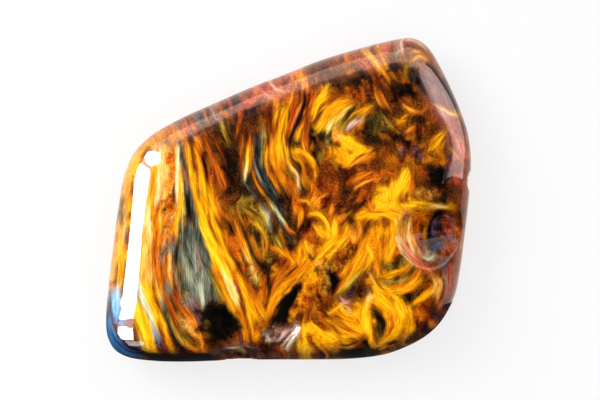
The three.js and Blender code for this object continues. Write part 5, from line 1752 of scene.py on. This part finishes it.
def stone_material(finish):
    material = bpy.data.materials.new("polished_pietersite")
    material.use_nodes = True
    tree = material.node_tree
    shader = tree.nodes["Principled BSDF"]
    shader.inputs["Roughness"].default_value = finish.roughness
    shader.inputs["IOR"].default_value = 1.45
    shader.inputs["Specular IOR Level"].default_value = 0.02
    shader.inputs["Coat Roughness"].default_value = finish.polish
    shader.inputs["Coat IOR"].default_value = 1.4
    marking = tree.nodes.new("ShaderNodeAttribute")
    marking.attribute_name = "marking"
    place = tree.nodes.new("ShaderNodeAttribute")
    place.attribute_name = "place"
    heading = tree.nodes.new("ShaderNodeAttribute")
    heading.attribute_name = "heading"
    silk = tree.nodes.new("ShaderNodeAttribute")
    silk.attribute_name = "silk"
    fibres = tree.nodes.new("ShaderNodeGroup")
    fibres.node_tree = fine_fibres_group()
    fibres.inputs["Depth"].default_value = finish.fibre_depth
    fibres.inputs["Brightness"].default_value = finish.brightness
    tree.links.new(marking.outputs["Color"], fibres.inputs["Colour"])
    tree.links.new(place.outputs["Vector"], fibres.inputs["Place"])
    tree.links.new(heading.outputs["Vector"], fibres.inputs["Heading"])
    tree.links.new(silk.outputs["Fac"], fibres.inputs["Silk"])
    tree.links.new(fibres.outputs["Colour"], shader.inputs["Base Color"])
    polish = tree.nodes.new("ShaderNodeAttribute")
    polish.attribute_name = "polish"
    flat = tree.nodes.new("ShaderNodeAttribute")
    flat.attribute_name = "flat"
    lean = tree.nodes.new("ShaderNodeLayerWeight")
    glance = tree.nodes.new("ShaderNodeMapRange")
    glance.interpolation_type = "SMOOTHSTEP"
    glance.inputs["From Min"].default_value, glance.inputs["From Max"].default_value = GLANCE
    tree.links.new(lean.outputs["Facing"], glance.inputs["Value"])
    lost = maths(tree, "MULTIPLY", glance.outputs["Result"], flat.outputs["Fac"])
    kept = maths(tree, "MULTIPLY_ADD", lost, -1.0, 1.0)
    tree.links.new(maths(tree, "MULTIPLY", kept, polish.outputs["Fac"]), shader.inputs["Coat Weight"])
    bump = tree.nodes.new("ShaderNodeBump")
    bump.inputs["Strength"].default_value = 0.15
    bump.inputs["Distance"].default_value = 0.02 * MM
    tree.links.new(fibres.outputs["Height"], bump.inputs["Height"])
    tree.links.new(bump.outputs["Normal"], shader.inputs["Normal"])
    return material


# Stage


def aimed(obj, place, target=(0, 0, 0)):
    """Put an object at a place, looking at a target."""
    way = np.array(target, float) - place
    obj.location = place
    flat = math.hypot(way[0], way[1])
    obj.rotation_euler = (math.atan2(flat, -way[2]), 0, math.atan2(way[1], way[0]) - QUARTER_TURN)


def on_dome(azimuth, polar, distance):
    """A place at a bearing from +X and an angle from straight up, both in degrees."""
    a, p = math.radians(azimuth), math.radians(polar)
    return distance * np.array([math.sin(p) * math.cos(a), math.sin(p) * math.sin(a), math.cos(p)])


class Polish:
    """The stone's polish as a mirror: where the camera sees what a screen shows."""

    def __init__(self, stone, form, studio):
        self.mesh = stone.data
        self.tree = BVHTree.FromObject(stone, bpy.context.evaluated_depsgraph_get())
        self.target, self.back, self.distance = viewpoint(form, studio)
        self.up = np.array([0, self.back[2], -self.back[1]])
        self.step = form.step

    def mirrored(self, grid_point):
        """Where the stone shows at a point of the drawing grid, and the way its polish looks from there."""
        x, y = grid_point
        seen = self.target + (x - GRID_CENTRE[0]) * self.step * np.array([1, 0, 0])
        seen = seen - (y - GRID_CENTRE[1]) * self.step * self.up
        eye = self.target + self.back * self.distance
        way = (seen - eye) / np.linalg.norm(seen - eye)
        place, _, face, _ = self.tree.ray_cast(eye, way)
        if place is None:
            raise RuntimeError(f"The stone doesn't show at {grid_point}")
        place = np.array(place)
        corners = [self.mesh.vertices[i] for i in self.mesh.polygons[face].vertices]
        a, b, c = (np.array(corner.co) for corner in corners)
        across = np.cross(b - a, c - a)
        share_b = np.cross(place - a, c - a) @ across / (across @ across)
        share_c = np.cross(b - a, place - a) @ across / (across @ across)
        shares = (1 - share_b - share_c, share_b, share_c)
        normal = sum(share * np.array(corner.normal) for share, corner in zip(shares, corners))
        normal /= np.linalg.norm(normal)
        return place, way - 2 * (way @ normal) * normal

    def cast(self, edges, bearing, distance):
        """Two edges on the grid, cast by the polish on an upright wall: a strip's corners and faces."""
        a = math.radians(bearing)
        out = np.array([math.cos(a), math.sin(a), 0])
        corners = []
        for edge in edges:
            places = np.arange(3 * len(edge) - 2) / 3
            for x, y in zip(*(np.interp(places, np.arange(len(edge)), side) for side in zip(*edge))):
                place, way = self.mirrored((x, y))
                reach = (distance * MM - place @ out) / (way @ out)
                if reach <= 0:
                    raise RuntimeError(f"The polish turns away from the wall at {x:.1f}, {y:.1f}")
                corners.append(place + way * reach)
        count = len(corners) // 2
        return corners, [(i, i + 1, count + i + 1, count + i) for i in range(count - 1)]


def screen_material(name, low, high, colour):
    """Light that rises from a low radiance at a screen's foot to a high one at its top."""
    material = bpy.data.materials.new(name)
    material.use_nodes = True
    tree = material.node_tree
    tree.nodes.clear()
    place = tree.nodes.new("ShaderNodeTexCoord")
    split = tree.nodes.new("ShaderNodeSeparateXYZ")
    tree.links.new(place.outputs["Generated"], split.inputs[0])
    glow = tree.nodes.new("ShaderNodeEmission")
    glow.inputs["Color"].default_value = (*colour, 1)
    radiance = maths(tree, "MULTIPLY_ADD", split.outputs["Z"], high - low, low)
    tree.links.new(radiance, glow.inputs["Strength"])
    tree.links.new(glow.outputs[0], tree.nodes.new("ShaderNodeOutputMaterial").inputs["Surface"])
    return material


def add_glow(name, corners, faces, radiances, colour):
    """A glowing screen that only the polish mirrors."""
    mesh = bpy.data.meshes.new(name)
    mesh.from_pydata([tuple(c) for c in corners], [], faces)
    mesh.materials.append(screen_material(name, *radiances, colour))
    screen = bpy.data.objects.new(name, mesh)
    bpy.context.scene.collection.objects.link(screen)
    screen.visible_camera = False
    screen.visible_diffuse = False
    screen.visible_shadow = False


def add_rim_glow(form):
    """What the rim mirrors of the floor close round the stone, except on the near side."""
    curve = closed_curve(form.from_grid(OUTLINE), 4) + form.shift
    kept = curve[curve[:, 1] > RIM_GLOW["from_y"] * MM]
    kept = kept[np.argsort((np.arctan2(kept[:, 1], kept[:, 0]) + QUARTER_TURN) % (4 * QUARTER_TURN))]
    height = RIM_GLOW["height"] * MM
    back = np.maximum(kept[:, 1:], 0) / np.linalg.norm(kept, axis=1, keepdims=True)
    spread = RIM_GLOW["spread"][0] + (RIM_GLOW["spread"][1] - RIM_GLOW["spread"][0]) * back
    corners = [(x, y, height) for x, y in kept] + [(x, y, height) for x, y in kept * spread]
    count = len(kept)
    faces = [(i, i + 1, count + i + 1, count + i) for i in range(count - 1)]
    add_glow("rim_glow", corners, faces, (RIM_GLOW["radiance"],) * 2, RIM_GLOW["colour"])


def add_fill(name, azimuth, polar, width, radiance, distance=0.5):
    """A soft square light that the polish doesn't mirror."""
    data = bpy.data.lights.new(name, "AREA")
    data.size = width
    data.energy = radiance * math.pi * width**2
    fill = bpy.data.objects.new(name, data)
    bpy.context.scene.collection.objects.link(fill)
    aimed(fill, on_dome(azimuth, polar, distance))
    fill.visible_camera = False
    fill.visible_glossy = False


def studio_world():
    """A dim room: dark overhead and lighter towards the horizon."""
    world = bpy.data.worlds.new("studio_room")
    world.use_nodes = True
    tree = world.node_tree
    place = tree.nodes.new("ShaderNodeTexCoord")
    split = tree.nodes.new("ShaderNodeSeparateXYZ")
    ramp = tree.nodes.new("ShaderNodeValToRGB")
    tree.links.new(place.outputs["Generated"], split.inputs[0])
    tree.links.new(split.outputs["Z"], ramp.inputs["Fac"])
    ramp.color_ramp.elements[0].position = 0.0
    ramp.color_ramp.elements[0].color = (*ROOM["horizon"], 1)
    ramp.color_ramp.elements[1].position = ROOM["from"]
    ramp.color_ramp.elements[1].color = (*ROOM["overhead"], 1)
    tree.links.new(ramp.outputs["Color"], tree.nodes["Background"].inputs["Color"])
    bpy.context.scene.world = world


def add_floor(colour, glow):
    """A pale floor, lit through from below by a share of its colour, so that its shadows stay soft."""
    size = FLOOR_REACH
    mesh = bpy.data.meshes.new("floor")
    corners = [(-size, -size, 0), (size, -size, 0), (size, size, 0), (-size, size, 0)]
    mesh.from_pydata(corners, [], [(0, 1, 2, 3)])
    floor = bpy.data.objects.new("floor", mesh)
    bpy.context.scene.collection.objects.link(floor)
    material = bpy.data.materials.new("pale_floor")
    material.use_nodes = True
    shader = material.node_tree.nodes["Principled BSDF"]
    shader.inputs["Base Color"].default_value = (*(part * (1 - glow) for part in colour), 1)
    shader.inputs["Roughness"].default_value = 1
    shader.inputs["Specular IOR Level"].default_value = 0
    shader.inputs["Emission Color"].default_value = (*colour, 1)
    shader.inputs["Emission Strength"].default_value = glow
    mesh.materials.append(material)
    floor.visible_glossy = False


def add_camera(studio, sizes):
    data = bpy.data.cameras.new("camera")
    data.lens = studio.lens
    data.sensor_width = SENSOR
    camera = bpy.data.objects.new("camera", data)
    bpy.context.scene.collection.objects.link(camera)
    target, back, distance = viewpoint(StoneForm(sizes), studio)
    camera.location = target + back * distance
    camera.rotation_euler = (QUARTER_TURN - studio.elevation, 0, 0)
    data.clip_start = 0.01
    bpy.context.scene.camera = camera


# Operators


class PIETERSITE_OT_add_stone(bpy.types.Operator):
    """Build the stone with its markings and its polish"""

    bl_idname = "pietersite.add_stone"
    bl_label = "Add stone"

    def execute(self, context):
        scene = context.scene
        mesh = stone_mesh(scene.stone_sizes, scene.stone_colours, scene.studio_settings)
        mesh.materials.append(stone_material(scene.stone_finish))
        stone = bpy.data.objects.new("pietersite_stone", mesh)
        scene.collection.objects.link(stone)
        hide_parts("stone")
        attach(stone, "root")
        return {"FINISHED"}


class PIETERSITE_OT_add_stage(bpy.types.Operator):
    """Set the floor, the lights and the camera"""

    bl_idname = "pietersite.add_stage"
    bl_label = "Add stage"

    def execute(self, context):
        scene = context.scene
        studio = scene.studio_settings
        add_floor(studio.floor_colour, studio.floor_glow)
        studio_world()
        form = StoneForm(scene.stone_sizes)
        polish = Polish(scene.objects["pietersite_stone"], form, studio)
        for name, bearing, distance, radiances, colour, *edges in MIRRORED:
            corners, faces = polish.cast(edges, bearing, distance)
            add_glow(name, corners, faces, [studio.screens * radiance for radiance in radiances], colour)
        add_rim_glow(form)
        add_fill("overhead_fill", azimuth=0, polar=0, width=0.8, radiance=studio.fill)
        add_fill("left_fill", azimuth=150, polar=45, width=0.3, radiance=studio.side_fill)
        add_camera(studio, scene.stone_sizes)
        scene.view_settings.view_transform = "Standard"
        scene.view_settings.look = "None"
        return {"FINISHED"}


class PIETERSITE_PT_panel(bpy.types.Panel):
    """Lists the builders and their settings"""

    bl_label = "Pietersite"
    bl_idname = "PIETERSITE_PT_panel"
    bl_space_type = "VIEW_3D"
    bl_region_type = "UI"
    bl_category = "Pietersite"

    def draw(self, context):
        layout = self.layout
        for group, operator in SHOWN:
            box = layout.box()
            settings = getattr(context.scene, group)
            for name in settings.__annotations__:
                box.prop(settings, name)
            if operator:
                box.operator(operator)


SHOWN = (
    ("stone_sizes", None),
    ("stone_finish", None),
    ("stone_colours", "pietersite.add_stone"),
    ("studio_settings", "pietersite.add_stage"),
)
SETTINGS = {
    "stone_sizes": StoneSizes,
    "stone_finish": StoneFinish,
    "stone_colours": StoneColours,
    "studio_settings": StudioSettings,
}
CLASSES = (*SETTINGS.values(), PIETERSITE_OT_add_stone, PIETERSITE_OT_add_stage, PIETERSITE_PT_panel)


def register():
    for kind in CLASSES:
        bpy.utils.register_class(kind)
    for name, kind in SETTINGS.items():
        setattr(bpy.types.Scene, name, PointerProperty(type=kind))


def unregister():
    for name in SETTINGS:
        delattr(bpy.types.Scene, name)
    for kind in reversed(CLASSES):
        bpy.utils.unregister_class(kind)


def main():
    register()
    bpy.ops.pietersite.add_stone()
    bpy.ops.pietersite.add_stage()


if __name__ == "__main__":
    main()
